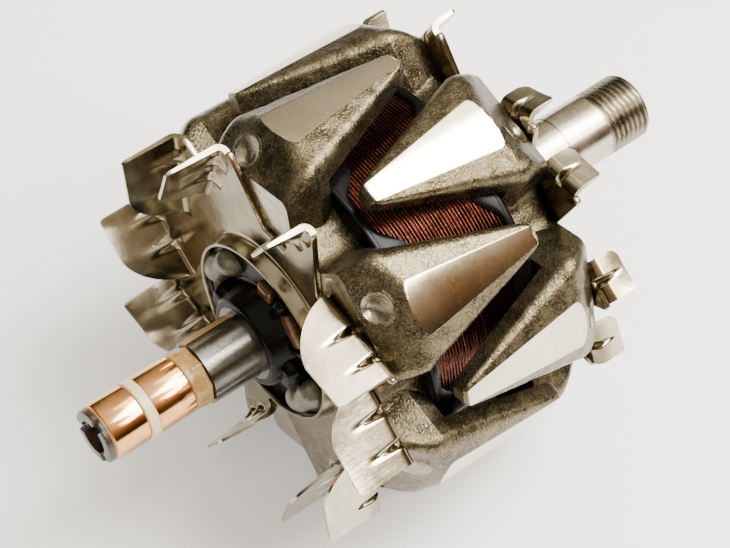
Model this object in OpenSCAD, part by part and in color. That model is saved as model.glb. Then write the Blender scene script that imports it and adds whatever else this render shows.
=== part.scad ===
// Claw-pole alternator rotor lying on its side, millimetres.
// The shaft lies along X, slip rings toward -X, threaded drive end toward +X, Z is up.
// Lengths along the shaft are given from the middle of the pole pieces; the finished rotor is
// then shifted so that the origin is on the shaft axis at the middle of the overall length.

/* [Pole pieces] */
// Outside diameter ground on the claws
rotor_d = 103.5; // [80:0.5:140]
// Claws on each pole piece
claw_count = 6; // [4:1:8]
// Angle of the reference claw about the shaft, from +Y toward +Z
claw_phase = 78; // [0:1:360]
// Distance from the middle to a pole end face
pole_face = 28.6; // [20:0.1:40]
// Distance from the middle to the inner face of a pole disc
pole_inner = 16.5; // [8:0.1:25]
// Distance from the middle to where the ground surface ends at the claw root
shoulder_x = 20.4; // [12:0.1:30]
// Distance past the middle that a claw tip reaches
claw_tip_x = 15; // [8:0.1:22]
// Bevel at the claw tip
claw_tip_bevel = 0.9; // [0.2:0.1:3]
// Radial thickness of a claw tip
claw_tip_t = 4.5; // [2:0.1:8]
// Radial thickness of a claw at its root
claw_root_t = 9.2; // [6:0.1:16]
// Half width of the ground surface at the claw root
ground_root_w = 7.15; // [3:0.05:12]
// Half width of the ground surface at the claw tip
ground_tip_w = 2.27; // [1:0.05:6]
// Half width of the whole claw at its root
claw_root_w = 15; // [8:0.1:20]
// Half width of the whole claw at the pole end face
claw_face_w = 13.8; // [6:0.1:20]
// Half width of the whole claw at its tip
claw_tip_w = 3.1; // [1.5:0.1:8]
// Slope of the forged bevel beside the ground surface
flank_slope = 22; // [10:1:45]
// Depth of the valley floor between claws below the ground surface
valley_depth = 16.25; // [12:0.05:26]
// Mouth diameter of the forging dimple on each shoulder
dimple_d = 7.6; // [3:0.1:12]
// Depth of the forging dimple
dimple_depth = 2.2; // [0.5:0.1:5]
// Share of the shoulder length at which the dimple sits
dimple_share = 0.62; // [0.3:0.01:0.8]
// Angle of the dimple from the claw centre line
dimple_offset = 4.6; // [0:0.1:10]

/* [Core and winding] */
// Radial depth of the winding
coil_depth = 14.3; // [6:0.1:18]
// Wall of the bobbin tube
bobbin_wall = 1.2; // [0.6:0.1:3]
// Thickness of a bobbin flange
flange_t = 2; // [0.8:0.1:4]
// Gap between a bobbin flange and the underside of the claws
flange_gap = 1.05; // [0.3:0.05:4]
// Depth of the winding below the rim of the flanges
coil_inset = 1; // [0.3:0.1:4]
// Length that a bobbin petal folds over the winding
petal_run = 5; // [2:0.1:8]
// Thickness of a bobbin petal
petal_t = 1.4; // [0.8:0.1:2.5]
// Width of a bobbin petal
petal_w = 15; // [6:0.5:22]

/* [Shaft] */
// Diameter of the drive-end bearing seat and of the pulley seat
shaft_d = 17; // [12:0.5:18]
// Diameter of the length that the poles and core are pressed on
press_d = 19; // [18.5:0.5:24]
// Position of the shoulder that the drive-end bearing stands against
bearing_shoulder_x = 36; // [32:0.5:45]
// Diameter of the slip-ring-end bearing seat
seat_d = 16; // [10:0.5:20]
// Diameter of the stub inside the slip-ring moulding
stub_d = 9; // [6:0.5:12]
// Root diameter of the drive thread
thread_root_d = 15.2; // [10:0.1:22]
// Position of the thread start
thread_x = 66; // [55:0.5:80]
// Position of the drive end
drive_end_x = 78.5; // [70:0.5:100]
// Chamfer at the drive end
end_chamfer = 1; // [0.4:0.1:2]
// Position of the grinding relief on the drive seat
relief_x = 53.9; // [45:0.1:60]
// Width of the grinding relief
relief_w = 1.2; // [0.4:0.1:3]
// Depth of the grinding relief
relief_depth = 0.25; // [0.1:0.05:1]
// Position of the outer end of the slip-ring-end seat
seat_outer_x = -52.6; // [-60:0.1:-45]
// Position of the inner end of the slip-ring-end seat
seat_inner_x = -39; // [-44:0.1:-34]
// Width of the undercut at the inner end of that seat
undercut_w = 1; // [0.6:0.1:2]
// Depth of the undercut, more than the sink of a lead bar
undercut_depth = 0.3; // [0.25:0.05:0.8]
// Position of the end of the stub
stub_end_x = -79; // [-90:0.5:-70]

/* [Slip rings] */
// Outside diameter of the slip rings
ring_d = 14.5; // [10:0.1:20]
// Wall of a slip ring
ring_wall = 1.3; // [0.6:0.1:3]
// Position of the outer end of the outer ring
ring_a_start = -79.3; // [-90:0.1:-70]
// Position of the inner end of the outer ring
ring_a_end = -70.2; // [-78:0.1:-62]
// Position of the outer end of the inner ring
ring_b_start = -67.5; // [-75:0.1:-60]
// Position of the inner end of the inner ring
ring_b_end = -57.5; // [-64:0.1:-50]
// Diameter of the rib between the rings
rib_d = 15; // [12:0.1:20]
// Position of the end of the moulding
moulding_end_x = -81.3; // [-95:0.1:-75]
// Diameter of the moulded end
moulding_end_d = 13.6; // [10:0.1:18]
// Width across the flats of the moulded collar
collar_flats = 14; // [10:0.1:16]
// Width of the notches in the moulded end
end_notch_w = 3; // [1:0.1:6]
// Depth of the notches in the moulded end
end_notch_depth = 1.6; // [0.5:0.1:5]
// Angle of the first notch from the reference claw
end_notch_angle = 30; // [0:1:120]
// Lip of the moulded end over the end of the stub
end_lip = 1.25; // [0.5:0.05:3]

/* [Leads] */
// Width of a lead bar in its shaft slot
bar_w = 3; // [1.5:0.1:5]
// Depth of a lead bar slot below the seat
bar_depth = 2.2; // [1:0.1:3]
// Depth of the flat top of a lead bar below the seat
bar_sink = 0.2; // [0.15:0.05:0.6]
// Length of a lead bar that runs on into the pressed length
bar_run = 3; // [1:0.5:8]
// Angle of the first lead bar from the reference claw
bar_angle = -24; // [-180:1:180]
// Radial width of the lead guide disc outside its hub
guide_shelf = 10.5; // [9:0.1:14]
// Thickness of the lead guide disc
guide_t = 3.6; // [2:0.1:8]
// Diameter of the lead guide hub at the bearing seat
guide_hub_d = 24; // [18:0.5:34]
// Thickness of a terminal pad
pad_t = 1.6; // [0.5:0.1:3]
// Radial width of a terminal pad
pad_w = 4.6; // [2:0.1:8]
// Distance of the middle of a terminal pad inside the rim of the guide
pad_inset = 6.1; // [3:0.1:9]
// Length of the short terminal pad
pad_a_len = 4.8; // [2:0.1:12]
// Length of the long terminal pad
pad_b_len = 9.6; // [2:0.1:16]
// Angle of the short pad from the reference claw
pad_a_angle = 20; // [-180:1:180]
// Angle of the long pad from the reference claw
pad_b_angle = 56; // [-180:1:180]
// Radius of a rounded lead clip
clip_round = 3.4; // [1.5:0.1:5]
// Distance of the middle of a lead clip inside the rim of the guide
clip_inset = 4.9; // [3.5:0.1:8]
// Length of a lead clip between the centres of its rounded ends
clip_len = 6.5; // [1:0.1:12]
// Angle of the first lead clip from the reference claw
clip_angle = -53; // [-180:1:180]

/* [Fans] */
// Thickness of the fan sheet
fan_t = 1.5; // [0.8:0.1:3]
// Distance of the outer ends of the blades inside the ground surface
blade_inset = 1.5; // [1:0.05:8]
// Radial span of the slip-ring-end blades
rear_blade_span = 13.95; // [8:0.05:20]
// Radial span of the drive-end blades
front_blade_span = 6.5; // [4:0.1:14]
// Distance of the closed ring of a fan inside the inner ends of the slip-ring-end blades
ring_inset = 4.8; // [2:0.1:10]
// Gap between the slip-ring-end fan hole and the lead guide
rear_hub_gap = 0; // [0:0.1:4]
// Gap between the drive-end fan hole and the bearing spacer
front_hub_gap = 0.4; // [0.1:0.1:4]
// Wall of the bearing spacer
spacer_wall = 2.1; // [1:0.1:6]
// Bevel on the outer rim of the bearing spacer
spacer_bevel = 0.8; // [0.2:0.1:2]
// Height of the turned collar round the slip-ring-end fan hole
rear_collar_h = 5.4; // [2:0.1:10]
// Height of the slip-ring-end blades
rear_blade_h = 15.8; // [6:0.1:18]
// Height of the drive-end blades
front_blade_h = 8; // [5:0.1:18]
// Share of the height kept at the inner end of a slip-ring-end blade
rear_inner_share = 0.15; // [0.1:0.05:1]
// Share of its length over which a slip-ring-end blade curves down
rear_curve_share = 0.5; // [0.05:0.05:0.8]
// Share of the height kept at the inner end of a drive-end blade
front_inner_share = 0.7; // [0.1:0.05:1]
// Share of its length over which a drive-end blade curves down
front_curve_share = 0.2; // [0.05:0.05:0.8]
// Cut corner at the top of a blade's outer end
blade_corner = 0.8; // [0.2:0.1:4]
// Distance that an arm stops short of the blade's outer end
arm_inset = 1.5; // [0.5:0.1:6]
// Overlap of an arm with the closed ring
arm_bury = 3; // [1:0.1:6]
// Distance that the bend of an arm stands out past the blade
bend_lip = 0.3; // [0.1:0.05:1]
// Angle that a fan arm reaches past its blade at the rim
arm_rim_angle = 4; // [1:0.5:12]
// Angle that a fan arm reaches past its blade at the ring
arm_ring_angle = 17.5; // [8:0.5:30]
// Angle of the outer end of each slip-ring-end blade from the reference claw
rear_blade_angles = [-35, -9.5, 27, 71.5, 102.5, 142.5, 170, 205, 252.5, 283.4];
// Angle that each slip-ring-end blade sweeps back to its inner end
rear_sweep_angles = [27, 24.5, 26.5, 26, 25.5, 25, 24, 25, 27, 23.5];
// Angle of the outer end of each drive-end blade from the reference claw
front_blade_angles = [-46.4, -7.2, 33.4, 56.5, 91.5, 121, 155, 187, 219, 249, 281];
// Angle that every drive-end blade sweeps back to its inner end
front_sweep_angle = 10.5; // [6:0.5:30]

/* [Hidden] */
$fn = 96;
over = 1;
rotor_r = rotor_d / 2;
valley_r = rotor_r - valley_depth;
shaft_r = shaft_d / 2;
press_r = press_d / 2;
middle_x = (moulding_end_x + drive_end_x) / 2;
face_r = rotor_r - (pole_face - shoulder_x);
root_under_r = rotor_r - claw_root_t;
tip_under_r = rotor_r - claw_tip_t;
flange_r = root_under_r - flange_gap;
coil_r = flange_r - coil_inset;
core_r = coil_r - coil_depth - bobbin_wall;
blade_outer_r = rotor_r - blade_inset;
rear_inner_r = blade_outer_r - rear_blade_span;
front_inner_r = blade_outer_r - front_blade_span;
fan_ring_r = rear_inner_r - ring_inset;
guide_d = guide_hub_d + 2 * guide_shelf;
spacer_d = press_d + 2 * spacer_wall;
rear_hub_r = guide_d / 2 + rear_hub_gap;
pad_r = guide_d / 2 - pad_inset;
clip_r = guide_d / 2 - clip_inset;
front_hub_r = spacer_d / 2 + front_hub_gap;
front_sweep_angles = [for (a = front_blade_angles) front_sweep_angle];
claw_pitch = 360 / claw_count;
ring_r = ring_d / 2;
ring_bed_r = ring_r - ring_wall;
ground_tip_x = claw_tip_x - claw_tip_bevel;
guide_face = pole_face + guide_t;
bar_floor_r = seat_d / 2 - bar_depth;
bar_top_r = seat_d / 2 - bar_sink;

// Turn a piece drawn about +Z onto the shaft axis, polar angles kept from +Y toward +Z.
module on_axis() {
    translate([-middle_x, 0, 0]) rotate([0, 90, 0]) rotate([0, 0, 90]) children();
}

// A ring about the drawing axis between two positions.
module ring(r_out, r_in, z0, z1) {
    translate([0, 0, z0]) difference() {
        cylinder(r = r_out, h = z1 - z0);
        translate([0, 0, -over]) cylinder(r = r_in, h = z1 - z0 + 2 * over);
    }
}

// A bar standing off the drawing axis at an angle: radial from r0 to r1, w wide, z0 to z1.
module radial_bar(angle, r0, r1, w, z0, z1) {
    rotate([0, 0, angle]) translate([r0, -w / 2, z0]) cube([r1 - r0, w, z1 - z0]);
}

// Profile of the claw ring before it is cut into claws.
module claw_profile() {
    polygon([[valley_r - over, -pole_face], [face_r, -pole_face], [rotor_r, -shoulder_x],
             [rotor_r, ground_tip_x], [rotor_r - claw_tip_bevel, claw_tip_x],
             [tip_under_r, claw_tip_x], [root_under_r, -pole_inner],
             [valley_r - over, -pole_inner]]);
}

// Plan of one claw looking along its radius.
module claw_plan() {
    polygon([[-claw_face_w, -pole_face - over], [claw_face_w, -pole_face - over],
             [claw_face_w, -pole_face], [claw_root_w, -shoulder_x],
             [claw_tip_w, ground_tip_x], [ground_tip_w, claw_tip_x + over],
             [-ground_tip_w, claw_tip_x + over], [-claw_tip_w, ground_tip_x],
             [-claw_root_w, -shoulder_x], [-claw_face_w, -pole_face]]);
}

// Block that planes off the forged bevel on one side of the ground surface.
module flank_block() {
    root = [sqrt(pow(rotor_r, 2) - pow(ground_root_w, 2)), ground_root_w, -shoulder_x];
    tip = [sqrt(pow(rotor_r, 2) - pow(ground_tip_w, 2)), ground_tip_w, ground_tip_x];
    run = (tip - root) / norm(tip - root);
    lean = -asin(run[1]);
    rise = asin(run[0] / cos(lean));
    translate(root) rotate([lean, rise, 0]) rotate([0, 0, flank_slope])
        translate([0, 0, -pole_face / 2]) cube([rotor_r / 2, rotor_r / 2, 3 * pole_face]);
}

// Conical dimple square to the 45 degree shoulder.
module dimple() {
    depth_in = (pole_face - shoulder_x) * dimple_share;
    floor_r = dimple_d / 6;
    mouth_r = dimple_d / 2;
    rotate([0, 0, -dimple_offset]) translate([rotor_r - depth_in, 0, -shoulder_x - depth_in])
        rotate([0, -135, 0]) translate([0, 0, -dimple_depth])
            cylinder(r1 = floor_r, r2 = mouth_r + (mouth_r - floor_r) * over / dimple_depth,
                     h = dimple_depth + over);
}

// One pole piece with its disc toward -Z and a claw at angle zero.
module pole_piece() {
    difference() {
        union() {
            translate([0, 0, -pole_face]) cylinder(r = valley_r, h = pole_face - pole_inner);
            for (i = [0 : claw_count - 1]) rotate([0, 0, i * claw_pitch]) difference() {
                intersection() {
                    rotate_extrude() claw_profile();
                    rotate([90, 0, 90]) linear_extrude(rotor_d) claw_plan();
                }
                flank_block();
                mirror([0, 1, 0]) flank_block();
                dimple();
            }
        }
        translate([0, 0, -pole_face - over]) cylinder(r = press_r, h = 2 * pole_face);
    }
}

// Outline of one blade, s along its chord and height up the page.
module blade_outline(chord, h, inner_share, curve_share) {
    low = h * inner_share;
    run = chord * curve_share;
    polygon(concat([[0, 0], [chord, 0], [chord, h - blade_corner], [chord - blade_corner, h]],
                   [for (a = [0 : 15 : 90]) [run * (1 - sin(a)), low + (h - low) * cos(a)]]));
}

// A point in the fan plane.
function polar(r, a) = [r * cos(a), r * sin(a)];

// One fan drawn standing up from the pole face.
module fan(angles, sweeps, inner_r, hub_r, h, inner_share, curve_share) {
    difference() {
        union() {
            cylinder(r = fan_ring_r, h = fan_t);
            for (i = [0 : len(angles) - 1]) {
                at = angles[i];
                outer = polar(blade_outer_r, at);
                inner = polar(inner_r, at - sweeps[i]);
                chord = outer - inner;
                along = chord / norm(chord);
                lip = bend_lip * [along[1], -along[0]];
                linear_extrude(fan_t)
                    polygon([polar(fan_ring_r - arm_bury, at - sweeps[i]), inner + lip,
                             outer + lip + bend_lip * along,
                             polar(blade_outer_r - arm_inset, at + arm_rim_angle),
                             polar(fan_ring_r - arm_bury / 6, at + arm_ring_angle)]);
                translate([inner[0], inner[1], 0]) rotate([0, 0, atan2(chord[1], chord[0])])
                    rotate([90, 0, 0]) translate([0, 0, -fan_t])
                        linear_extrude(fan_t) blade_outline(norm(chord), h, inner_share, curve_share);
            }
        }
        translate([0, 0, -over]) cylinder(r = hub_r, h = fan_t + 2 * over);
    }
}

// Turned profile of the shaft, radius across and position up the page.
module shaft_profile() {
    polygon([[0, stub_end_x], [stub_d / 2, stub_end_x], [stub_d / 2, seat_outer_x],
             [seat_d / 2, seat_outer_x], [seat_d / 2, seat_inner_x - undercut_w],
             [seat_d / 2 - undercut_depth, seat_inner_x - undercut_w],
             [seat_d / 2 - undercut_depth, seat_inner_x], [press_r, seat_inner_x],
             [press_r, bearing_shoulder_x], [shaft_r, bearing_shoulder_x],
             [shaft_r, relief_x - relief_w / 2], [shaft_r - relief_depth, relief_x - relief_w / 2],
             [shaft_r - relief_depth, relief_x + relief_w / 2], [shaft_r, relief_x + relief_w / 2],
             [shaft_r, thread_x], [thread_root_d / 2, thread_x],
             [thread_root_d / 2, drive_end_x - end_chamfer],
             [thread_root_d / 2 - end_chamfer, drive_end_x],
             [0, drive_end_x]]);
}

module shaft() color([0.72, 0.7, 0.66]) on_axis() difference() {
    rotate_extrude() shaft_profile();
    for (side = [0, 180]) {
        radial_bar(claw_phase + bar_angle + side, bar_floor_r, seat_d, bar_w,
                   seat_outer_x - over, seat_inner_x - undercut_w / 2);
        radial_bar(claw_phase + bar_angle + side, bar_floor_r, bar_top_r, bar_w,
                   seat_inner_x - 2 * undercut_w, seat_inner_x + bar_run);
    }
}

module pole_core() color([0.42, 0.4, 0.36]) on_axis()
    ring(core_r, press_r, -pole_inner, pole_inner);

module rear_pole() color([0.5, 0.47, 0.4]) on_axis() rotate([0, 0, claw_phase]) pole_piece();

module front_pole() color([0.5, 0.47, 0.4]) on_axis()
    rotate([0, 0, claw_phase + claw_pitch / 2]) rotate([180, 0, 0]) pole_piece();

// Six petals of one bobbin flange, folded over the winding in the valleys of its pole.
module petals() {
    intersection() {
        ring(coil_r + petal_t, coil_r, -pole_inner, -pole_inner + flange_t + petal_run);
        for (i = [0 : claw_count - 1])
            radial_bar((i + 0.5) * claw_pitch, core_r, rotor_r, petal_w, -pole_face, 0);
    }
}

module coil_bobbin() color([0.08, 0.08, 0.08]) on_axis() {
    ring(core_r + bobbin_wall, core_r, -pole_inner, pole_inner);
    ring(flange_r, core_r, -pole_inner, -pole_inner + flange_t);
    ring(flange_r, core_r, pole_inner - flange_t, pole_inner);
    rotate([0, 0, claw_phase]) petals();
    rotate([0, 0, claw_phase + claw_pitch / 2]) mirror([0, 0, 1]) petals();
}

module field_coil() color([0.6, 0.25, 0.15]) on_axis()
    ring(coil_r, core_r + bobbin_wall, -pole_inner + flange_t, pole_inner - flange_t);

module rear_fan() color([0.7, 0.68, 0.62]) on_axis() mirror([0, 0, 1]) translate([0, 0, pole_face])
    rotate([0, 0, claw_phase]) {
        fan(rear_blade_angles, rear_sweep_angles, rear_inner_r, rear_hub_r, rear_blade_h,
            rear_inner_share, rear_curve_share);
        ring(rear_hub_r + fan_t, rear_hub_r, 0, rear_collar_h);
    }

module front_fan() color([0.7, 0.68, 0.62]) on_axis() translate([0, 0, pole_face])
    rotate([0, 0, claw_phase])
        fan(front_blade_angles, front_sweep_angles, front_inner_r, front_hub_r, front_blade_h,
            front_inner_share, front_curve_share);

module slip_ring_moulding() color([0.66, 0.5, 0.3]) on_axis() difference() {
    union() {
        translate([0, 0, moulding_end_x])
            cylinder(d = moulding_end_d, h = ring_a_start - moulding_end_x);
        translate([0, 0, ring_a_start]) cylinder(r = ring_bed_r, h = ring_b_end - ring_a_start);
        translate([0, 0, ring_a_end]) cylinder(d = rib_d, h = ring_b_start - ring_a_end);
        translate([0, 0, ring_b_end])
            cylinder(d = collar_flats / cos(22.5), h = seat_outer_x - ring_b_end, $fn = 8);
    }
    translate([0, 0, stub_end_x]) cylinder(d = stub_d, h = seat_outer_x - stub_end_x + over);
    translate([0, 0, moulding_end_x - over])
        cylinder(r = stub_d / 2 - end_lip, h = stub_end_x - moulding_end_x + 2 * over);
    for (side = [0, 120, 240])
        radial_bar(claw_phase + side + end_notch_angle, stub_d / 2 - end_lip - over, ring_d,
                   end_notch_w, moulding_end_x - over, moulding_end_x + end_notch_depth);
}

module slip_ring_outer() color([0.8, 0.5, 0.3]) on_axis()
    ring(ring_r, ring_bed_r, ring_a_start, ring_a_end);

module slip_ring_inner() color([0.8, 0.5, 0.3]) on_axis()
    ring(ring_r, ring_bed_r, ring_b_start, ring_b_end);

module lead_guide() color([0.1, 0.1, 0.1]) on_axis() difference() {
    union() {
        ring(guide_d / 2, press_r, -guide_face, -pole_face);
        ring(guide_hub_d / 2, press_r, seat_inner_x, -pole_face);
    }
}

module lead_bar(side) on_axis()
    radial_bar(claw_phase + bar_angle + side, bar_floor_r, bar_top_r, bar_w,
               seat_outer_x, seat_inner_x + bar_run);

module lead_bar_a() color([0.6, 0.45, 0.25]) lead_bar(0);

module lead_bar_b() color([0.6, 0.45, 0.25]) lead_bar(180);

module terminal(angle, len) on_axis() rotate([0, 0, claw_phase + angle])
    translate([pad_r - pad_w / 2, -len / 2, -guide_face - pad_t]) cube([pad_w, len, pad_t]);

module terminal_a() color([0.55, 0.36, 0.22]) terminal(pad_a_angle, pad_a_len);

module terminal_b() color([0.55, 0.36, 0.22]) terminal(pad_b_angle, pad_b_len);

// Rounded clip that holds a coil end on the lead guide, flat on the guide disc.
module lead_clip(angle) on_axis() rotate([0, 0, claw_phase + angle]) difference() {
    translate([clip_r, 0, -guide_face]) union() {
        rotate([90, 0, 0]) cylinder(r = clip_round, h = clip_len, center = true);
        for (side = [-1, 1]) translate([0, side * clip_len / 2, 0]) sphere(r = clip_round);
    }
    translate([0, 0, -guide_face]) cylinder(r = rotor_r, h = pole_face);
}

module lead_clip_a() color([0.45, 0.46, 0.42]) lead_clip(clip_angle);

module lead_clip_b() color([0.45, 0.46, 0.42]) lead_clip(clip_angle + 180);

module bearing_spacer() color([0.6, 0.58, 0.54]) on_axis() rotate_extrude()
    polygon([[press_r, pole_face], [spacer_d / 2, pole_face],
             [spacer_d / 2, bearing_shoulder_x - spacer_bevel],
             [spacer_d / 2 - spacer_bevel, bearing_shoulder_x], [press_r, bearing_shoulder_x]]);

shaft();
pole_core();
rear_pole();
front_pole();
coil_bobbin();
field_coil();
rear_fan();
front_fan();
slip_ring_moulding();
slip_ring_outer();
slip_ring_inner();
lead_guide();
lead_bar_a();
lead_bar_b();
terminal_a();
terminal_b();
lead_clip_a();
lead_clip_b();
bearing_spacer();
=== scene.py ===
"""Dressing of a claw-pole alternator rotor lying on its side.

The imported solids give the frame. This script adds the wound coil, the forged and ground claw poles,
the stamped fans, the copper slip rings and the drive thread, and gives every piece its finish.
Sizes are in millimetres in shaft coordinates: x along the shaft from the middle of the pole pieces,
r from the shaft axis and an angle about it from +Y toward +Z.
"""

from __future__ import annotations

import logging
from dataclasses import dataclass, field
from enum import Enum

import bmesh
import bpy
import numpy as np
from mathutils import Matrix, Vector

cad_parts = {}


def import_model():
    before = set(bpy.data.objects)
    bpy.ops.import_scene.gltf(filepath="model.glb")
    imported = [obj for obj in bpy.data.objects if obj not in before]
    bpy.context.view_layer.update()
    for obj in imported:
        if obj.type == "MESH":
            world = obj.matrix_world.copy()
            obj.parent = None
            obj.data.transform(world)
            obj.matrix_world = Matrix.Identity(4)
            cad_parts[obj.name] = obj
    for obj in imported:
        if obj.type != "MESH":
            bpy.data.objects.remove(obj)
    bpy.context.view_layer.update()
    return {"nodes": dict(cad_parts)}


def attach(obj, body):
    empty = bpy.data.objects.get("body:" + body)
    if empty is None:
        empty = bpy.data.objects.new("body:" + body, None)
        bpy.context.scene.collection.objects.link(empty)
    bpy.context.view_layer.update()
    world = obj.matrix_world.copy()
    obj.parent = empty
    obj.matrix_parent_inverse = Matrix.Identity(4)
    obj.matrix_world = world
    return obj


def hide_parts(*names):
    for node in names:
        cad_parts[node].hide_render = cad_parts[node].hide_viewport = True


LOG = logging.getLogger("rotor")
MM = 0.001
# Millimetres along the shaft from the frame's origin to the middle of the poles.
SHIFT = 1.4
# Direction of the first claw of the slip-ring end's pole, in degrees.
CLAW_ANGLE = 78.0
# Points closer than this many metres are one point.
WELD = 1e-6
# First input and output of a Mix node for each kind of value that it blends.
MIX_SOCKETS = {"RGBA": (6, 2), "FLOAT": (2, 0), "VECTOR": (4, 1)}


class End(Enum):
    """The two ends of the rotor, with the sign of x on each."""

    SLIP_RING = -1.0
    DRIVE = 1.0


def place(x: np.ndarray, r: np.ndarray, angle: np.ndarray) -> np.ndarray:
    """Turn shaft coordinates into frame points.

    Args:
        x: Positions along the shaft in millimetres from the middle of the poles.
        r: Distances from the shaft axis in millimetres.
        angle: Angles about the shaft in degrees from +Y toward +Z.

    Returns:
        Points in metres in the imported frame, one more axis than the inputs.
    """
    x, r, turn = np.broadcast_arrays(x, r, np.radians(angle))
    return np.stack([x + SHIFT, r * np.cos(turn), r * np.sin(turn)], axis=-1) * MM


def soft_min(a: np.ndarray, b: np.ndarray, k: float) -> np.ndarray:
    """Lower of two heights with the corner between them rounded over about k millimetres."""
    short = np.maximum(k - np.abs(a - b), 0.0) / k
    return np.minimum(a, b) - 0.25 * k * short * short


def soft_max(a: np.ndarray, b: np.ndarray, k: float) -> np.ndarray:
    """Higher of two heights with the corner between them filled over about k millimetres."""
    return -soft_min(-a, -b, 2.0 * k)


def ramp(a: np.ndarray, low: float, high: float) -> np.ndarray:
    """Smooth step from 0 at low to 1 at high."""
    t = np.clip((np.asarray(a, float) - low) / (high - low), 0.0, 1.0)
    return t * t * (3.0 - 2.0 * t)


def ripple(a: np.ndarray, b: np.ndarray) -> np.ndarray:
    """Fixed uneven surface of a forging: a sum of sines of two coordinates, between about -1 and 1."""
    return (
        np.sin(0.61 * a + 1.3) * np.sin(0.53 * b + 0.4)
        + 0.6 * np.sin(1.17 * b + 2.1) * np.sin(0.97 * a - 0.6)
        + 0.4 * np.sin(1.9 * a + 0.7)
    ) / 1.6


def linear(code: str) -> tuple[float, float, float, float]:
    """Turn an sRGB hex colour into linear values.

    Args:
        code: Colour such as "#a0b1c2".

    Returns:
        Linear red, green, blue and an alpha of one.
    """
    srgb = np.array([int(code[i:i + 2], 16) for i in (1, 3, 5)]) / 255.0
    value = np.where(srgb <= 0.04045, srgb / 12.92, ((srgb + 0.055) / 1.055) ** 2.4)
    return float(value[0]), float(value[1]), float(value[2]), 1.0


def node(
    tree: bpy.types.NodeTree, kind: str, inputs: dict | None = None, **settings: object
) -> bpy.types.Node:
    """Add one shader node, set its properties, and link or set its inputs.

    Args:
        tree: Node tree that gets the node.
        kind: Blender's name of the node type.
        inputs: Socket names or numbers, each with a value or with the socket that feeds it.
        settings: Properties of the node.

    Returns:
        The new node.
    """
    made = tree.nodes.new(kind)
    for key, value in settings.items():
        setattr(made, key, value)
    for key, value in (inputs or {}).items():
        if isinstance(value, bpy.types.NodeSocket):
            tree.links.new(value, made.inputs[key])
        else:
            made.inputs[key].default_value = value
    return made


def blank(name: str) -> tuple[bpy.types.Material, bpy.types.NodeTree]:
    """Start a node material that holds no nodes yet."""
    material = bpy.data.materials.new(name)
    material.use_nodes = True
    material.node_tree.nodes.clear()
    return material, material.node_tree


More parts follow.
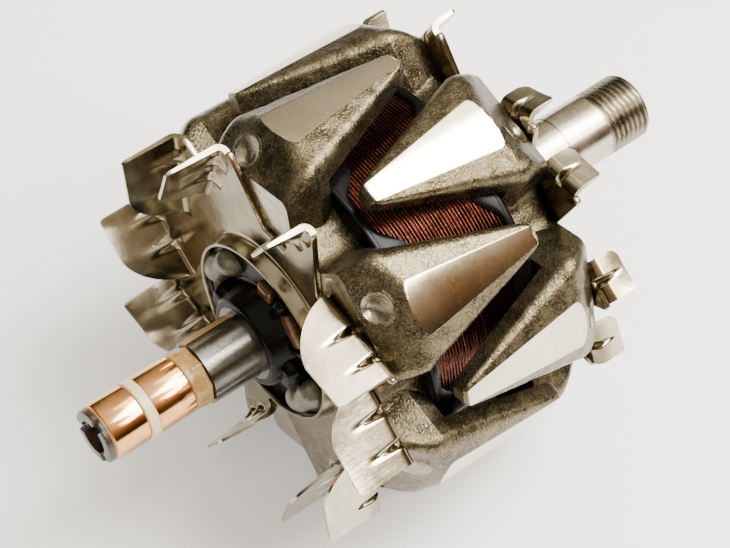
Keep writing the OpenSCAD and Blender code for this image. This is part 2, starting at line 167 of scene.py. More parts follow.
@dataclass(frozen=True)
class Finish:
    """A finish of the rotor: three tones, a gloss, a grain and a fine line pattern.

    The tones are mixed by two noises whose sizes are in millimetres, and each share gives the span
    of the noise over which a tone comes in. The roughness goes from its first to its second value
    with the larger noise. The grain is a bump of the given size and height. The lines are a bump
    stretched along the surface: line_size gives the size of the pattern along x, y and z in
    millimetres. The coat is the moulding's own clear skin, and shine the specular level of a plastic.
    """

    name: str
    tone: str
    dark: str
    light: str
    metallic: float
    roughness: tuple[float, float]
    patch_size: float
    speck_size: float
    grain_size: float = 1.0
    grain_height: float = 0.005
    line_size: tuple[float, float, float] = (0.0, 0.0, 0.0)
    line_height: float = 0.0
    coat: float = 0.0
    coat_roughness: float = 0.1
    shine: float = 0.5
    dark_share: tuple[float, float] = (0.35, 0.65)
    light_share: tuple[float, float] = (0.5, 0.8)
    gloss_share: tuple[float, float] = (0.3, 0.7)

    def parts(self, tree: bpy.types.NodeTree) -> tuple[bpy.types.NodeSocket, ...]:
        """Add the finish's patterns to a tree.

        Args:
            tree: Node tree of a material.

        Returns:
            Sockets of the colour, the roughness and the normal, all from Object coordinates.
        """
        where = node(tree, "ShaderNodeTexCoord").outputs["Object"]
        patch = node(
            tree,
            "ShaderNodeTexNoise",
            {"Vector": where, "Scale": 1.0 / (self.patch_size * MM), "Detail": 4.0, "Roughness": 0.6},
        ).outputs["Fac"]
        speck = node(
            tree,
            "ShaderNodeTexNoise",
            {"Vector": where, "Scale": 1.0 / (self.speck_size * MM), "Detail": 3.0, "Roughness": 0.65},
        ).outputs["Fac"]
        in_patch = node(
            tree,
            "ShaderNodeMapRange",
            {"Value": patch, "From Min": self.dark_share[0], "From Max": self.dark_share[1]},
        ).outputs[0]
        in_speck = node(
            tree,
            "ShaderNodeMapRange",
            {"Value": speck, "From Min": self.light_share[0], "From Max": self.light_share[1]},
        ).outputs[0]
        base = node(
            tree,
            "ShaderNodeMix",
            {0: in_patch, 6: linear(self.dark), 7: linear(self.tone)},
            data_type="RGBA",
        ).outputs[2]
        colour = node(
            tree,
            "ShaderNodeMix",
            {0: in_speck, 6: base, 7: linear(self.light)},
            data_type="RGBA",
        ).outputs[2]
        gloss = node(
            tree,
            "ShaderNodeMapRange",
            {"Value": patch, "From Min": self.gloss_share[0], "From Max": self.gloss_share[1],
             "To Min": self.roughness[0], "To Max": self.roughness[1]},
        ).outputs[0]
        grain = node(
            tree,
            "ShaderNodeTexNoise",
            {"Vector": where, "Scale": 1.0 / (self.grain_size * MM), "Detail": 3.0, "Roughness": 0.6},
        ).outputs["Fac"]
        normal = node(
            tree,
            "ShaderNodeBump",
            {"Height": grain, "Distance": self.grain_height * MM, "Strength": 1.0},
        ).outputs[0]
        if self.line_height > 0.0:
            scale = [1.0 / (s * MM) for s in self.line_size]
            stretched = node(tree, "ShaderNodeMapping", {"Vector": where, "Scale": scale}).outputs[0]
            lines = node(
                tree,
                "ShaderNodeTexNoise",
                {"Vector": stretched, "Scale": 1.0, "Detail": 2.0, "Roughness": 0.6},
            ).outputs["Fac"]
            normal = node(
                tree,
                "ShaderNodeBump",
                {"Height": lines, "Distance": self.line_height * MM, "Strength": 1.0, "Normal": normal},
            ).outputs[0]
        return colour, gloss, normal

    def make(self) -> bpy.types.Material:
        """Build the material.

        Returns:
            A node material that reads Object coordinates.
        """
        material, tree = blank(self.name)
        colour, gloss, normal = self.parts(tree)
        shader = node(
            tree,
            "ShaderNodeBsdfPrincipled",
            {"Base Color": colour, "Roughness": gloss, "Normal": normal, "Metallic": self.metallic,
             "Coat Weight": self.coat, "Coat Roughness": self.coat_roughness,
             "Specular IOR Level": self.shine},
        )
        node(tree, "ShaderNodeOutputMaterial", {0: shader.outputs[0]})
        return material


@dataclass(frozen=True)
class TwoFinishes:
    """Two finishes on one piece, the second where a number passes a limit.

    The number is the named attribute of the mesh's points. Where no attribute is named it is the
    place along the shaft in metres. The finishes blend over the soft span at each side of the limit.
    """

    name: str
    below: Finish
    above: Finish
    limit: float
    soft: float
    attribute: str = ""

    def make(self) -> bpy.types.Material:
        """Build the material.

        Returns:
            A node material with one shader, whose inputs are mixed from both finishes.
        """
        material, tree = blank(self.name)
        if self.attribute:
            value = node(tree, "ShaderNodeAttribute", attribute_name=self.attribute).outputs["Fac"]
        else:
            where = node(tree, "ShaderNodeTexCoord").outputs["Object"]
            value = node(tree, "ShaderNodeSeparateXYZ", {0: where}).outputs[0]
        share = node(
            tree,
            "ShaderNodeMapRange",
            {"Value": value, "From Min": self.limit - self.soft, "From Max": self.limit + self.soft},
        ).outputs[0]
        blends = []
        pairs = zip(self.below.parts(tree), self.above.parts(tree))
        for (kind, (first, out)), (one, two) in zip(MIX_SOCKETS.items(), pairs):
            inputs = {0: share, first: one, first + 1: two}
            blends.append(node(tree, "ShaderNodeMix", inputs, data_type=kind).outputs[out])
        colour, gloss, normal = blends
        metal = self.below.metallic
        if self.above.metallic != metal:
            limits = {"Value": share, "To Min": metal, "To Max": self.above.metallic}
            metal = node(tree, "ShaderNodeMapRange", limits).outputs[0]
        shader = node(
            tree,
            "ShaderNodeBsdfPrincipled",
            {"Base Color": colour, "Roughness": gloss, "Normal": normal, "Metallic": metal},
        )
        node(tree, "ShaderNodeOutputMaterial", {0: shader.outputs[0]})
        return material


# Lines of grinding and turning, and the blasted grain, are drawn coarser than the real ones to show.

# Claw tops ground to size: clear broad reflections, faint lines round the rotor.
GROUND_STEEL = Finish(
    "ground_claw_steel", "#d9cfbb", "#c8bca5", "#e3dac9", 1.0, (0.1, 0.17), 14.0, 1.2,
    line_size=(0.25, 30.0, 30.0), line_height=0.003, grain_size=4.0, grain_height=0.004,
)
# Forged steel, shot blasted and oiled: olive brown, grainy, each grain glints.
FORGED_STEEL = Finish(
    "blasted_forged_steel", "#5f553f", "#362f20", "#887d60", 0.9, (0.2, 0.36), 4.0, 0.5,
    grain_size=0.55, grain_height=0.13, light_share=(0.47, 0.75),
)
CLAW_STEEL = TwoFinishes("forged_and_ground_steel", FORGED_STEEL, GROUND_STEEL, 0.0, 0.03, "ground")
# Steel faced in a lathe: bright grey with fine rings that catch the light.
TURNED_STEEL = Finish(
    "turned_face_steel", "#b9b19e", "#9a917e", "#d0c8b4", 1.0, (0.2, 0.32), 6.0, 0.8,
    grain_size=0.8, grain_height=0.02,
)
# Drive end of the shaft, turned and ground: champagne grey, lines across the axis.
DRIVE_STEEL = Finish(
    "ground_shaft_steel", "#c3b9a8", "#a99f8f", "#d5ccbc", 1.0, (0.16, 0.27), 9.0, 0.8,
    line_size=(0.22, 9.0, 9.0), line_height=0.007,
)
# Rear bearing seat, ground and oiled: dark grey with a clear streak of light.
SEAT_STEEL = Finish(
    "oiled_seat_steel", "#6a6762", "#55524d", "#7d7973", 1.0, (0.2, 0.3), 7.0, 0.7,
    line_size=(0.3, 9.0, 9.0), line_height=0.006,
)
# The drive thread, cut and oiled: darker in its grooves.
THREAD_STEEL = Finish(
    "oiled_thread_steel", "#8f8777", "#6f6859", "#a89f8e", 1.0, (0.2, 0.32), 5.0, 0.7,
    line_size=(0.3, 9.0, 9.0), line_height=0.006,
)
SHAFT_STEEL = TwoFinishes("ground_shaft_with_oiled_seat", SEAT_STEEL, DRIVE_STEEL, -0.036, 0.0004)
# Core steel inside the coil, turned and oiled: dark, with fine rings.
DARK_STEEL = Finish(
    "oiled_core_steel", "#6e675c", "#4b463e", "#8d8678", 1.0, (0.3, 0.45), 6.0, 0.7,
    line_size=(0.3, 9.0, 9.0), line_height=0.01,
)
# Stamped sheet steel, zinc plated: silver with a warm cast, satin, slightly wavy.
FAN_STEEL = Finish(
    "plated_sheet_steel", "#c6bda8", "#b2a991", "#d2cab6", 1.0, (0.12, 0.22), 9.0, 2.0,
    line_size=(14.0, 0.7, 14.0), line_height=0.008, grain_size=4.0, grain_height=0.035,
)
# The same sheet on the flat and at the feet of the blades: painted shade, a brown that stands in for the
# dark reflections there; streaked, still a mirror.
SHADED_SHEET = Finish(
    "sheet_steel_painted_shade", "#938870", "#736952", "#a59a81", 1.0, (0.13, 0.25), 13.0, 3.0,
    line_size=(14.0, 0.7, 14.0), line_height=0.014, grain_size=4.0, grain_height=0.04,
)
# Below the limit the fan's sheet takes the painted shade, brown where dark reflections fall.
STAMPED_STEEL = TwoFinishes("stamped_sheet_steel", SHADED_SHEET, FAN_STEEL, 0.0, 1.0, "ground")
# Copper winding wire under dark red enamel: glossy, brown in the grooves.
WIRE_ENAMEL = Finish(
    "enamelled_copper_wire", "#4c2619", "#28110b", "#74422d", 0.95, (0.16, 0.24), 3.0, 0.6,
)
# Copper slip rings turned bright: warm mirror with fine rings round them.
RING_COPPER = Finish(
    "turned_copper", "#e8ab70", "#db985d", "#efbd88", 1.0, (0.1, 0.16), 4.0, 0.6,
    line_size=(0.2, 8.0, 8.0), line_height=0.004,
)
# Tan phenolic resin, moulded: satin, slightly mottled.
TAN_RESIN = Finish(
    "moulded_tan_resin", "#a67a3e", "#84602d", "#bd9454", 0.0, (0.28, 0.45), 3.0, 0.5,
    grain_size=0.5, grain_height=0.02, coat=0.2, coat_roughness=0.25,
)
# The same resin in a darker brown, on the end, round its hole and inside it.
DARK_END_RESIN = Finish(
    "dark_end_resin", "#3d2a19", "#251910", "#5a412a", 0.0, (0.3, 0.5), 2.0, 0.5,
    grain_size=0.5, grain_height=0.03, coat=0.2, coat_roughness=0.25,
)
# The rib between the rings, cut clean in the lathe: pale cream.
CREAM_RESIN = Finish(
    "turned_cream_resin", "#dcc598", "#cbb184", "#ead8b2", 0.0, (0.3, 0.45), 3.0, 0.5,
    grain_size=0.4, grain_height=0.01, coat=0.2, coat_roughness=0.25,
)
# Black nylon, moulded: soft highlights on its edges.
BLACK_NYLON = Finish(
    "moulded_black_nylon", "#080807", "#040404", "#0f0e0d", 0.0, (0.2, 0.32), 4.0, 0.6,
    grain_size=0.6, grain_height=0.012, shine=0.1,
)
# Brass tags under brown varnish: soft gloss, mottled.
BROWN_BRASS = Finish(
    "varnished_brass", "#6f4c2e", "#4c321d", "#916a44", 0.5, (0.3, 0.45), 2.0, 0.5,
    grain_size=0.5, grain_height=0.02, coat=0.3, coat_roughness=0.2,
)
# Dull tinned steel clips: grey, slightly uneven.
TINNED_STEEL = Finish(
    "dull_tinned_steel", "#7a7869", "#5c5a4e", "#94917f", 0.45, (0.3, 0.44), 3.0, 0.6,
    grain_size=1.4, grain_height=0.02,
)


class Wardrobe:
    """Makes each finish once and hands it out."""

    def __init__(self) -> None:
        """Start with nothing made."""
        self.made: dict[str, bpy.types.Material] = {}

    def get(self, finish: Finish | TwoFinishes) -> bpy.types.Material:
        """Return the material of a finish."""
        if finish.name not in self.made:
            self.made[finish.name] = finish.make()
        return self.made[finish.name]

    def dress(self, part: bpy.types.Object, finish: Finish | TwoFinishes) -> None:
        """Give a carried-over solid one finish all over."""
        part.data.materials.clear()
        part.data.materials.append(self.get(finish))


class Skin:
    """Collects grids of points into one closed mesh with a material slot for each face."""

    def __init__(self) -> None:
        """Start with no points."""
        self.points: list[np.ndarray] = []
        self.faces: list[np.ndarray] = []
        self.slots: list[np.ndarray] = []
        self.marks: list[np.ndarray] = []
        self.count = 0

    def grid(self, points: np.ndarray, wrap_u: bool = False, wrap_v: bool = False,
             slot: int | np.ndarray = 0, mark: float | np.ndarray = -1.0) -> None:
        """Add the quads of a grid.

        Args:
            points: Array of rows, columns and three coordinates in metres.
            wrap_u: The last row joins the first.
            wrap_v: The last column joins the first.
            slot: Material slot of all faces, or one for each face by row and column.
            mark: Number kept at all points, or one for each point, in the attribute "ground". It is
            above zero where a claw is ground, and on the upper part of a fan's blades. Below zero a fan
            takes its painted shade.
        """
        rows, columns = points.shape[:2]
        u = np.arange(rows if wrap_u else rows - 1)[:, None]
        v = np.arange(columns if wrap_v else columns - 1)[None, :]
        u1, v1 = (u + 1) % rows, (v + 1) % columns
        corners = np.stack([u * columns + v, u1 * columns + v, u1 * columns + v1, u * columns + v1], -1)
        self.faces.append(corners.reshape(-1, 4) + self.count)
        self.slots.append(np.broadcast_to(slot, corners.shape[:2]).reshape(-1).astype(np.int32))
        self.points.append(points.reshape(-1, 3))
        self.marks.append(np.broadcast_to(mark, (rows, columns)).reshape(-1).astype(np.float32))
        self.count += rows * columns

    def ring(self, points: np.ndarray, slot: int | np.ndarray = 0) -> None:
        """Add a closed section carried all the way round, as a grid that joins up both ways."""
        self.grid(points, wrap_u=True, wrap_v=True, slot=slot)

    def cap(self, loop: np.ndarray, slot: int = 0) -> None:
        """Close a loop of points with triangles to its centre.

        Args:
            loop: Array of points round the opening, in metres.
            slot: Material slot of the faces.
        """
        n = len(loop)
        index = np.arange(n)
        self.faces.append(np.stack([index, (index + 1) % n, np.full(n, n)], -1) + self.count)
        self.slots.append(np.full(n, slot, np.int32))
        self.points.append(np.vstack([loop, loop.mean(0)]))
        self.marks.append(np.full(n + 1, -1.0, np.float32))
        self.count += n + 1

    def build(self, name: str, finishes: list[bpy.types.Material], sharp: float) -> bpy.types.Object:
        """Make the mesh object, with shared points merged and its faces turned outward.

        Args:
            name: Name of the piece.
            finishes: Materials in slot order.
            sharp: Edges that turn more than this many degrees shade as sharp.

        Returns:
            The new object, linked to the scene and riding on the rotor.
        """
        mesh = bpy.data.meshes.new(name)
        faces = [face for block in self.faces for face in block.tolist()]
        mesh.from_pydata(np.vstack(self.points).tolist(), [], faces)
        for material in finishes:
            mesh.materials.append(material)
        mesh.polygons.foreach_set("material_index", np.concatenate(self.slots))
        marks = mesh.attributes.new("ground", "FLOAT", "POINT")
        marks.data.foreach_set("value", np.concatenate(self.marks))
        shape = bmesh.new()
        shape.from_mesh(mesh)
        bmesh.ops.remove_doubles(shape, verts=shape.verts, dist=WELD)
        bmesh.ops.recalc_face_normals(shape, faces=shape.faces)
        shape.to_mesh(mesh)
        shape.free()
        mesh.validate()
        mesh.shade_smooth()
        mesh.set_sharp_from_angle(angle=np.radians(sharp))
        piece = bpy.data.objects.new(name, mesh)
        bpy.context.scene.collection.objects.link(piece)
        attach(piece, "root")
        LOG.info("%s: %d faces", name, len(mesh.polygons))
        return piece


def turned(profile: np.ndarray, columns: int) -> np.ndarray:
    """Carry a profile round the shaft.

    Args:
        profile: Array of [x, r] pairs in millimetres.
        columns: Steps round the circle.

    Returns:
        Grid of points, one row for each step round and one column for each profile point.
    """
    angle = np.linspace(0.0, 360.0, columns, endpoint=False)[:, None]
    return place(profile[None, :, 0], profile[None, :, 1], angle)


def rounded(corners: list[tuple[float, float, float]], steps: int = 5) -> np.ndarray:
    """Closed outline with each corner rounded by an arc.

    Args:
        corners: x, r and radius of each corner in order.
        steps: Points on each arc.

    Returns:
        Array of [x, r] pairs.
    """
    given = np.array(corners, float)
    at, before, after = given[:, :2], np.roll(given[:, :2], 1, 0), np.roll(given[:, :2], -1, 0)
    to_a, to_b = before - at, after - at
    to_a /= np.linalg.norm(to_a, axis=1)[:, None]
    to_b /= np.linalg.norm(to_b, axis=1)[:, None]
    half = np.arccos(np.clip((to_a * to_b).sum(1), -0.9999, 0.9999)) / 2.0
    reach = given[:, 2] / np.tan(half)
    middle = to_a + to_b
    middle /= np.maximum(np.linalg.norm(middle, axis=1), 1e-9)[:, None]
    centre = at + middle * (given[:, 2] / np.sin(half))[:, None]
    start, stop = at + to_a * reach[:, None], at + to_b * reach[:, None]
    first = np.arctan2(*(start - centre).T[::-1])
    turn = np.arctan2(*(stop - centre).T[::-1]) - first
    turn = (turn + np.pi) % (2.0 * np.pi) - np.pi
    t = np.linspace(0.0, 1.0, steps)[None, :]
    angle = first[:, None] + turn[:, None] * t
    radius = given[:, 2][:, None]
    points = centre[:, None, :] + radius[:, :, None] * np.stack([np.cos(angle), np.sin(angle)], -1)
    return points.reshape(-1, 2)


@dataclass
class PolePiece:
    """A forged claw pole: a disc whose six tapered claws are ground on the outside."""

    name: str
    end: End
    rotor_r: float = 51.75
    # Places along the shaft, for the slip-ring end's pole.
    face_x: float = -28.6
    inner_x: float = -16.5
    shoulder_x: float = -20.4
    ground_tip_x: float = 14.1
    tip_x: float = 15.0
    # Claw, from root to tip: half widths, thickness, slope of the flanks in degrees, and rounds.
    tip_round: float = 2.2
    ground_w: tuple[float, float] = (7.15, 2.27)
    claw_w: tuple[float, float, float] = (13.8, 15.0, 3.1)
    claw_t: tuple[float, float] = (9.2, 4.5)
    flank: float = 22.0
    edge_round: tuple[float, float] = (2.3, 0.8)
    edge_min: float = 0.35
    tip_narrow: float = 0.75
    draft: float = 0.25
    root_round: float = 3.0
    root_sink: float = 2.5
    # Disc: valleys between the claws, rounds, and how far it stays inside the claws' sides and tops.
    valley_r: float = 35.5
    valley_round: float = 3.5
    rim_round: float = 2.2
    bore_r: float = 9.5
    disc_inset: tuple[float, float] = (0.6, 0.1)
    # Forged skin: waves round and along the disc, heights, and how far from the ground top it starts.
    disc_waves: tuple[float, float] = (0.7 / 3.0, 6.0)
    disc_uneven: float = 0.15
    claw_uneven: float = 0.12
    uneven_from: tuple[float, float] = (0.2, 2.0)
    # Dimple in the shoulder, the height and width of the burr round it, and its share of grinding.
    dimple_r: float = 3.5
    dimple_depth: float = 1.2
    dimple_angle: float = -4.6
    dimple_place: float = 0.62
    dimple_floor: float = 0.12
    burr: tuple[float, float] = (0.3, 0.5)
    struck_mark: float = -0.012
    # Points of the grids, and how far two rows of a claw stay off the disc's faces.
    row_gap: tuple[float, float] = (0.02, 0.05)
    claw_rows: tuple[int, int, int, int] = (46, 14, 60, 12)
    claw_columns: tuple[int, int, int] = (20, 37, 9)
    disc_columns: int = 480
    face_steps: int = 5
    round_steps: int = 7
    rim_steps: int = 8
    claws: int = 6
    # Material slots.
    claw_steel: int = field(default=0, init=False)
    faced: int = field(default=1, init=False)

    def phase(self) -> float:
        """Angle of the first claw in degrees."""
        return CLAW_ANGLE if self.end is End.SLIP_RING else CLAW_ANGLE + 180.0 / self.claws

    def spread(self, x: np.ndarray, h: np.ndarray, w: np.ndarray, claw: int) -> np.ndarray:
        """Put claw coordinates in the frame.

        Args:
            x: Positions along the shaft for the slip-ring end's pole.
            h: Heights along the middle of the claw.
            w: Offsets to the side of it.
            claw: Number of the claw.

        Returns:
            Points in metres. The drive end's pole is the same forging turned end for end.
        """
        side = -self.end.value
        angle = self.phase() + claw * 360.0 / self.claws + np.degrees(np.arctan2(side * w, h))
        return place(side * x, np.hypot(h, w), angle)

    def top(
        self, x: np.ndarray, w: np.ndarray, c: np.ndarray, g: np.ndarray
    ) -> tuple[np.ndarray, np.ndarray]:
        """Height of the claw's outside.

        The lower of the ground cylinder and of the forging, which is the two flanks that fall away
        beside it and the 45 degree shoulder with the corner between them rounded. The edge is
        rounded, the round dimple sunk in and the tip bevelled. A point is ground where the cylinder
        is the lower one. The dimple was struck by a punch, so it takes a part of the ground finish.

        Args:
            x: Positions along the shaft.
            w: Offsets from the middle of the claw.
            c: Half width of the claw at each x.
            g: Half width of the ground surface at each x.

        Returns:
            Heights in millimetres, and how far the forging is above the ground cylinder.
        """
        cylinder = np.sqrt(self.rotor_r**2 - w**2)
        edge = np.sqrt(self.rotor_r**2 - g**2)
        flank = edge - (np.abs(w) - g) * np.tan(np.radians(self.flank))
        shoulder = self.rotor_r - (self.shoulder_x - x)
        forged = soft_min(flank, shoulder, self.root_round)
        bumps = self.claw_uneven * ripple(x, w) * ramp(np.abs(w) - g, *self.uneven_from)
        h = np.minimum(cylinder, forged + bumps)
        mark = forged - cylinder
        past = np.maximum(x - self.ground_tip_x, 0.0)
        h = np.minimum(h, self.rotor_r - past)
        mark = np.where(past > 0.0, -past, mark)
        sink = self.dimple_place * (self.shoulder_x - self.face_x)
        centre_w = (self.rotor_r - sink) * np.sin(np.radians(self.dimple_angle))
        away = np.hypot((x - self.shoulder_x + sink) * np.sqrt(2.0), w - centre_w)
        dish = self.dimple_depth * ramp(-away, -self.dimple_r, -self.dimple_floor * self.dimple_r)
        raised, wide = self.burr
        rim = raised * np.exp(-(((away - self.dimple_r - raised) / wide) ** 2))
        h = h - np.sqrt(2.0) * (dish - rim)
        mark = np.maximum(mark, np.minimum(self.dimple_r + raised - away, self.struck_mark))
        share = ramp(x, self.shoulder_x, self.tip_x)
        round_r = self.edge_round[0] + (self.edge_round[1] - self.edge_round[0]) * share
        short = np.clip(round_r - (c - np.abs(w)), 0.0, round_r)
        return h - (round_r - np.sqrt(round_r**2 - short**2)), mark

    def claw(self) -> tuple[np.ndarray, np.ndarray, np.ndarray, np.ndarray]:
        """Closed sections of one claw, row by row from the pole face to the rounded tip.

        Returns:
            x, height, side offset and ground mark of each grid point.
        """
        start = self.tip_x - self.tip_round
        shoulder, wall, free, tip = self.claw_rows
        edge, middle, side = self.claw_columns
        rows = np.concatenate([
            np.linspace(self.face_x + self.row_gap[0], self.shoulder_x, shoulder),
            np.linspace(self.shoulder_x, self.inner_x, wall)[1:],
            np.linspace(self.inner_x + self.row_gap[1], start, free),
            start + self.tip_round * np.sin(np.linspace(0.0, np.pi / 2.0, tip))[1:],
        ])
        knots = [self.face_x, self.shoulder_x, self.ground_tip_x]
        c = np.interp(rows, knots, self.claw_w)
        g = np.interp(rows, knots[1:], self.ground_w)
        past = np.clip(rows - start, 0.0, self.tip_round)
        fall = self.tip_round - np.sqrt(np.maximum(self.tip_round**2 - past**2, 0.0))
        c = c - self.tip_narrow * fall
        g = np.minimum(g, c - self.edge_min)
        ease = 1.0 - np.cos(np.linspace(0.0, np.pi / 2.0, edge))
        left = -c[:, None] + (c - g)[:, None] * ease[None, :]
        mid = g[:, None] * np.linspace(-1.0, 1.0, middle)[None, 1:-1]
        w = np.concatenate([left, mid, -left[:, ::-1]], axis=1)
        x = np.broadcast_to(rows[:, None], w.shape)
        h, mark = self.top(x, w, c[:, None], g[:, None])
        thick = np.interp(rows, [self.inner_x, self.tip_x], self.claw_t)
        under = np.where(rows <= self.inner_x, self.valley_r - self.root_sink, self.rotor_r - thick)
        down = np.linspace(0.0, 1.0, side)[None, 1:]
        side_h = h[:, -1:] + (under[:, None] - h[:, -1:]) * down
        side_w = c[:, None] - self.draft * down
        base_w = side_w[:, -1:] * np.linspace(1.0, -1.0, side)[None, 1:-1]
        base_h = np.broadcast_to(under[:, None], base_w.shape)
        h = np.concatenate([h, side_h, base_h, side_h[:, ::-1]], axis=1)
        w = np.concatenate([w, side_w, base_w, -side_w[:, ::-1]], axis=1)
        rough = np.full((len(rows), h.shape[1] - mark.shape[1]), -1.0)
        mark = np.concatenate([mark, rough], axis=1)
        return np.broadcast_to(rows[:, None], w.shape), h, w, mark

    def disc(self) -> tuple[np.ndarray, np.ndarray, np.ndarray]:
        """Disc of the pole: its outline follows the claws and dips in a round valley between them.

        Returns:
            x and r of each grid point by angle and profile step, and the angles from the first claw.
        """
        angle = np.linspace(0.0, 360.0, self.disc_columns, endpoint=False)
        off = (angle + 180.0 / self.claws) % (360.0 / self.claws) - 180.0 / self.claws
        from_side, from_top = self.disc_inset
        wall = (self.claw_w[0] - from_side) / np.maximum(np.abs(np.sin(np.radians(off))), 1e-3)
        top = self.rotor_r - (self.shoulder_x - self.face_x) - from_top
        rim = soft_max(np.minimum(top, wall), np.full_like(wall, self.valley_r), self.valley_round)
        turn = np.linspace(0.0, np.pi / 2.0, self.round_steps)[None, :]
        bend = np.full((len(rim), 1), self.rim_round)
        flat = np.linspace(0.0, 1.0, self.face_steps)[None, :]
        face_r = self.bore_r + (rim[:, None] - bend - self.bore_r) * flat
        out_r = rim[:, None] - bend + bend * np.sin(turn)
        out_x = self.face_x + bend - bend * np.cos(turn)
        run = np.linspace(0.0, 1.0, self.rim_steps)[None, 1:-1]
        round_it, along_it = self.disc_waves
        wavy = self.disc_uneven * ripple(round_it * angle[:, None], along_it * run)
        side_r = rim[:, None] + wavy
        side_x = self.face_x + bend + (self.inner_x - self.face_x - bend) * run
        back_r = np.stack([rim, np.full_like(rim, self.bore_r)], axis=1)
        back_x = np.full_like(back_r, self.inner_x)
        r = np.concatenate([face_r, out_r[:, 1:], side_r, back_r], axis=1)
        x = np.concatenate([np.full_like(face_r, self.face_x), out_x[:, 1:], side_x, back_x], axis=1)
        return x, r, angle

    def build(self, wardrobe: Wardrobe) -> None:
        """Make the pole piece, its ground claws and its faced end.

        Args:
            wardrobe: Where the finishes come from.
        """
        skin = Skin()
        x, h, w, mark = self.claw()
        for claw in range(self.claws):
            points = self.spread(x, h, w, claw)
            skin.grid(points, wrap_v=True, slot=self.claw_steel, mark=mark)
            skin.cap(points[-1], slot=self.claw_steel)
            skin.cap(points[0], slot=self.faced)
        dx, dr, angle = self.disc()
        side = -self.end.value
        ring = place(side * dx, dr, self.phase() + side * angle[:, None])
        slots = np.full(ring.shape[:2], self.claw_steel)
        slots[:, :self.face_steps - 1] = self.faced
        skin.ring(ring, slot=slots)
        finishes = [wardrobe.get(CLAW_STEEL), wardrobe.get(TURNED_STEEL)]
        piece = skin.build(self.name + "_forging", finishes, sharp=28.0)
        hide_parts(self.name)


@dataclass
class FieldCoil:
    """The winding, each turn of wire a round ridge that climbs one pitch a turn."""

    outer_r: float = 40.5
    inner_r: float = 26.2
    half: float = 14.5
    wire: float = 0.86
    # How far the wire lies inside the coil's radius, and the waves that make it uneven.
    sink: float = 0.08
    uneven: float = 0.06
    wander: tuple[float, float] = (2.7, 2.0)
    # Points across a turn and round the coil.
    steps: int = 8
    columns: int = 240

    def build(self, wardrobe: Wardrobe) -> None:
        """Make the coil.

        The radius is the outer radius less a half circle for each turn, sheared by angle. A slow wave
        that differs from turn to turn makes the winding slightly uneven.

        Args:
            wardrobe: Where the finishes come from.
        """
        turns = round(2.0 * self.half / self.wire)
        pitch = 2.0 * self.half / turns
        x = np.linspace(-self.half, self.half, turns * self.steps + 1)[None, :]
        angle = np.linspace(0.0, 360.0, self.columns, endpoint=False)[:, None]
        step = (x + self.half) / pitch - angle / 360.0
        across = 2.0 * (step - np.floor(step)) - 1.0
        by_turn, round_it = self.wander
        uneven = self.uneven * np.sin(by_turn * np.floor(step) + np.radians(angle) * round_it)
        groove = 0.5 * pitch * (1.0 - np.sqrt(np.maximum(1.0 - across**2, 0.0)))
        r = self.outer_r - groove + uneven - self.sink
        ends = np.full((self.columns, 1), self.inner_r)
        r = np.concatenate([ends, r, ends], axis=1)
        x = np.concatenate([[[-self.half]], x, [[self.half]]], axis=1)
        skin = Skin()
        skin.ring(place(x, r, angle))
        piece = skin.build("field_coil_turns", [wardrobe.get(WIRE_ENAMEL)], sharp=70.0)
        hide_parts("field_coil")


@dataclass
class Bobbin:
    """Black bobbin: tube, two flanges, and petals folded over the coil under the claws."""

    core_r: float = 25.0
    tube_r: float = 26.2
    flange_r: float = 41.5
    half: float = 16.5
    flange_t: float = 2.0
    coil_r: float = 40.5
    # Petals: thickness, length at each end, what is left at a claw tip, and the opening there.
    petal_t: float = 0.85
    petal_run: tuple[float, float] = (5.6, 4.4)
    lip: float = 0.5
    gap_angle: tuple[float, float] = (5.0, 16.0)
    pitch: float = 60.0
    # How far a petal reaches into the flange, over the coil and under its surface.
    inside: float = 0.8
    lift: float = 0.1
    under: float = 0.4
    edge_thin: float = 0.55
    # Rounds of the flanges and the tube, and points of the grids.
    bore_round: float = 0.2
    rim_round: float = 0.7
    tube_round: float = 0.3
    flange_columns: int = 160
    petal_columns: int = 480
    petal_steps: int = 15

    def petals(self, end: End) -> np.ndarray:
        """Petals of one flange, as a closed strip that lies on the coil.

        Its free edge dips back to the flange in a round opening at each claw tip of the other pole,
        and the strip thins toward that edge.

        Args:
            end: Which flange carries them.

        Returns:
            Closed sections as a grid of points by angle and step round the section.
        """
        angle = np.linspace(0.0, 360.0, self.petal_columns, endpoint=False)[:, None]
        v = np.linspace(0.0, 1.0, self.petal_steps)[None, :]
        slip_end = end is End.SLIP_RING
        own = CLAW_ANGLE if slip_end else CLAW_ANGLE + self.pitch / 2.0
        off = np.abs((angle - own) % self.pitch - self.pitch / 2.0)
        longest = self.petal_run[0 if slip_end else 1]
        run = self.lip + (longest - self.lip) * ramp(off, *self.gap_angle)
        reach = self.flange_t - self.inside + (run + self.inside) * v
        top = self.coil_r + self.lift + self.petal_t * (1.0 - self.edge_thin * v**3) + 0.0 * run
        low = np.full_like(top, self.coil_r - self.under)
        x = np.concatenate([reach, reach[:, ::-1]], axis=1)
        r = np.concatenate([top, low[:, ::-1]], axis=1)
        return place(end.value * (self.half - x), r, angle)

    def build(self, wardrobe: Wardrobe) -> None:
        """Make the bobbin.

        Args:
            wardrobe: Where the finishes come from.
        """
        outside, inside = self.half, self.half - self.flange_t
        bore = (self.core_r, self.bore_round)
        rim = (self.flange_r, self.rim_round)
        tube = (self.tube_r, self.tube_round)
        outline = rounded([
            (-outside, *bore), (-outside, *rim), (-inside, *rim), (-inside, *tube),
            (inside, *tube), (inside, *rim), (outside, *rim), (outside, *bore),
        ])
        skin = Skin()
        skin.ring(turned(outline, self.flange_columns))
        for end in End:
            skin.ring(self.petals(end))
        piece = skin.build("bobbin_with_petals", [wardrobe.get(BLACK_NYLON)], sharp=50.0)
        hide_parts("coil_bobbin")


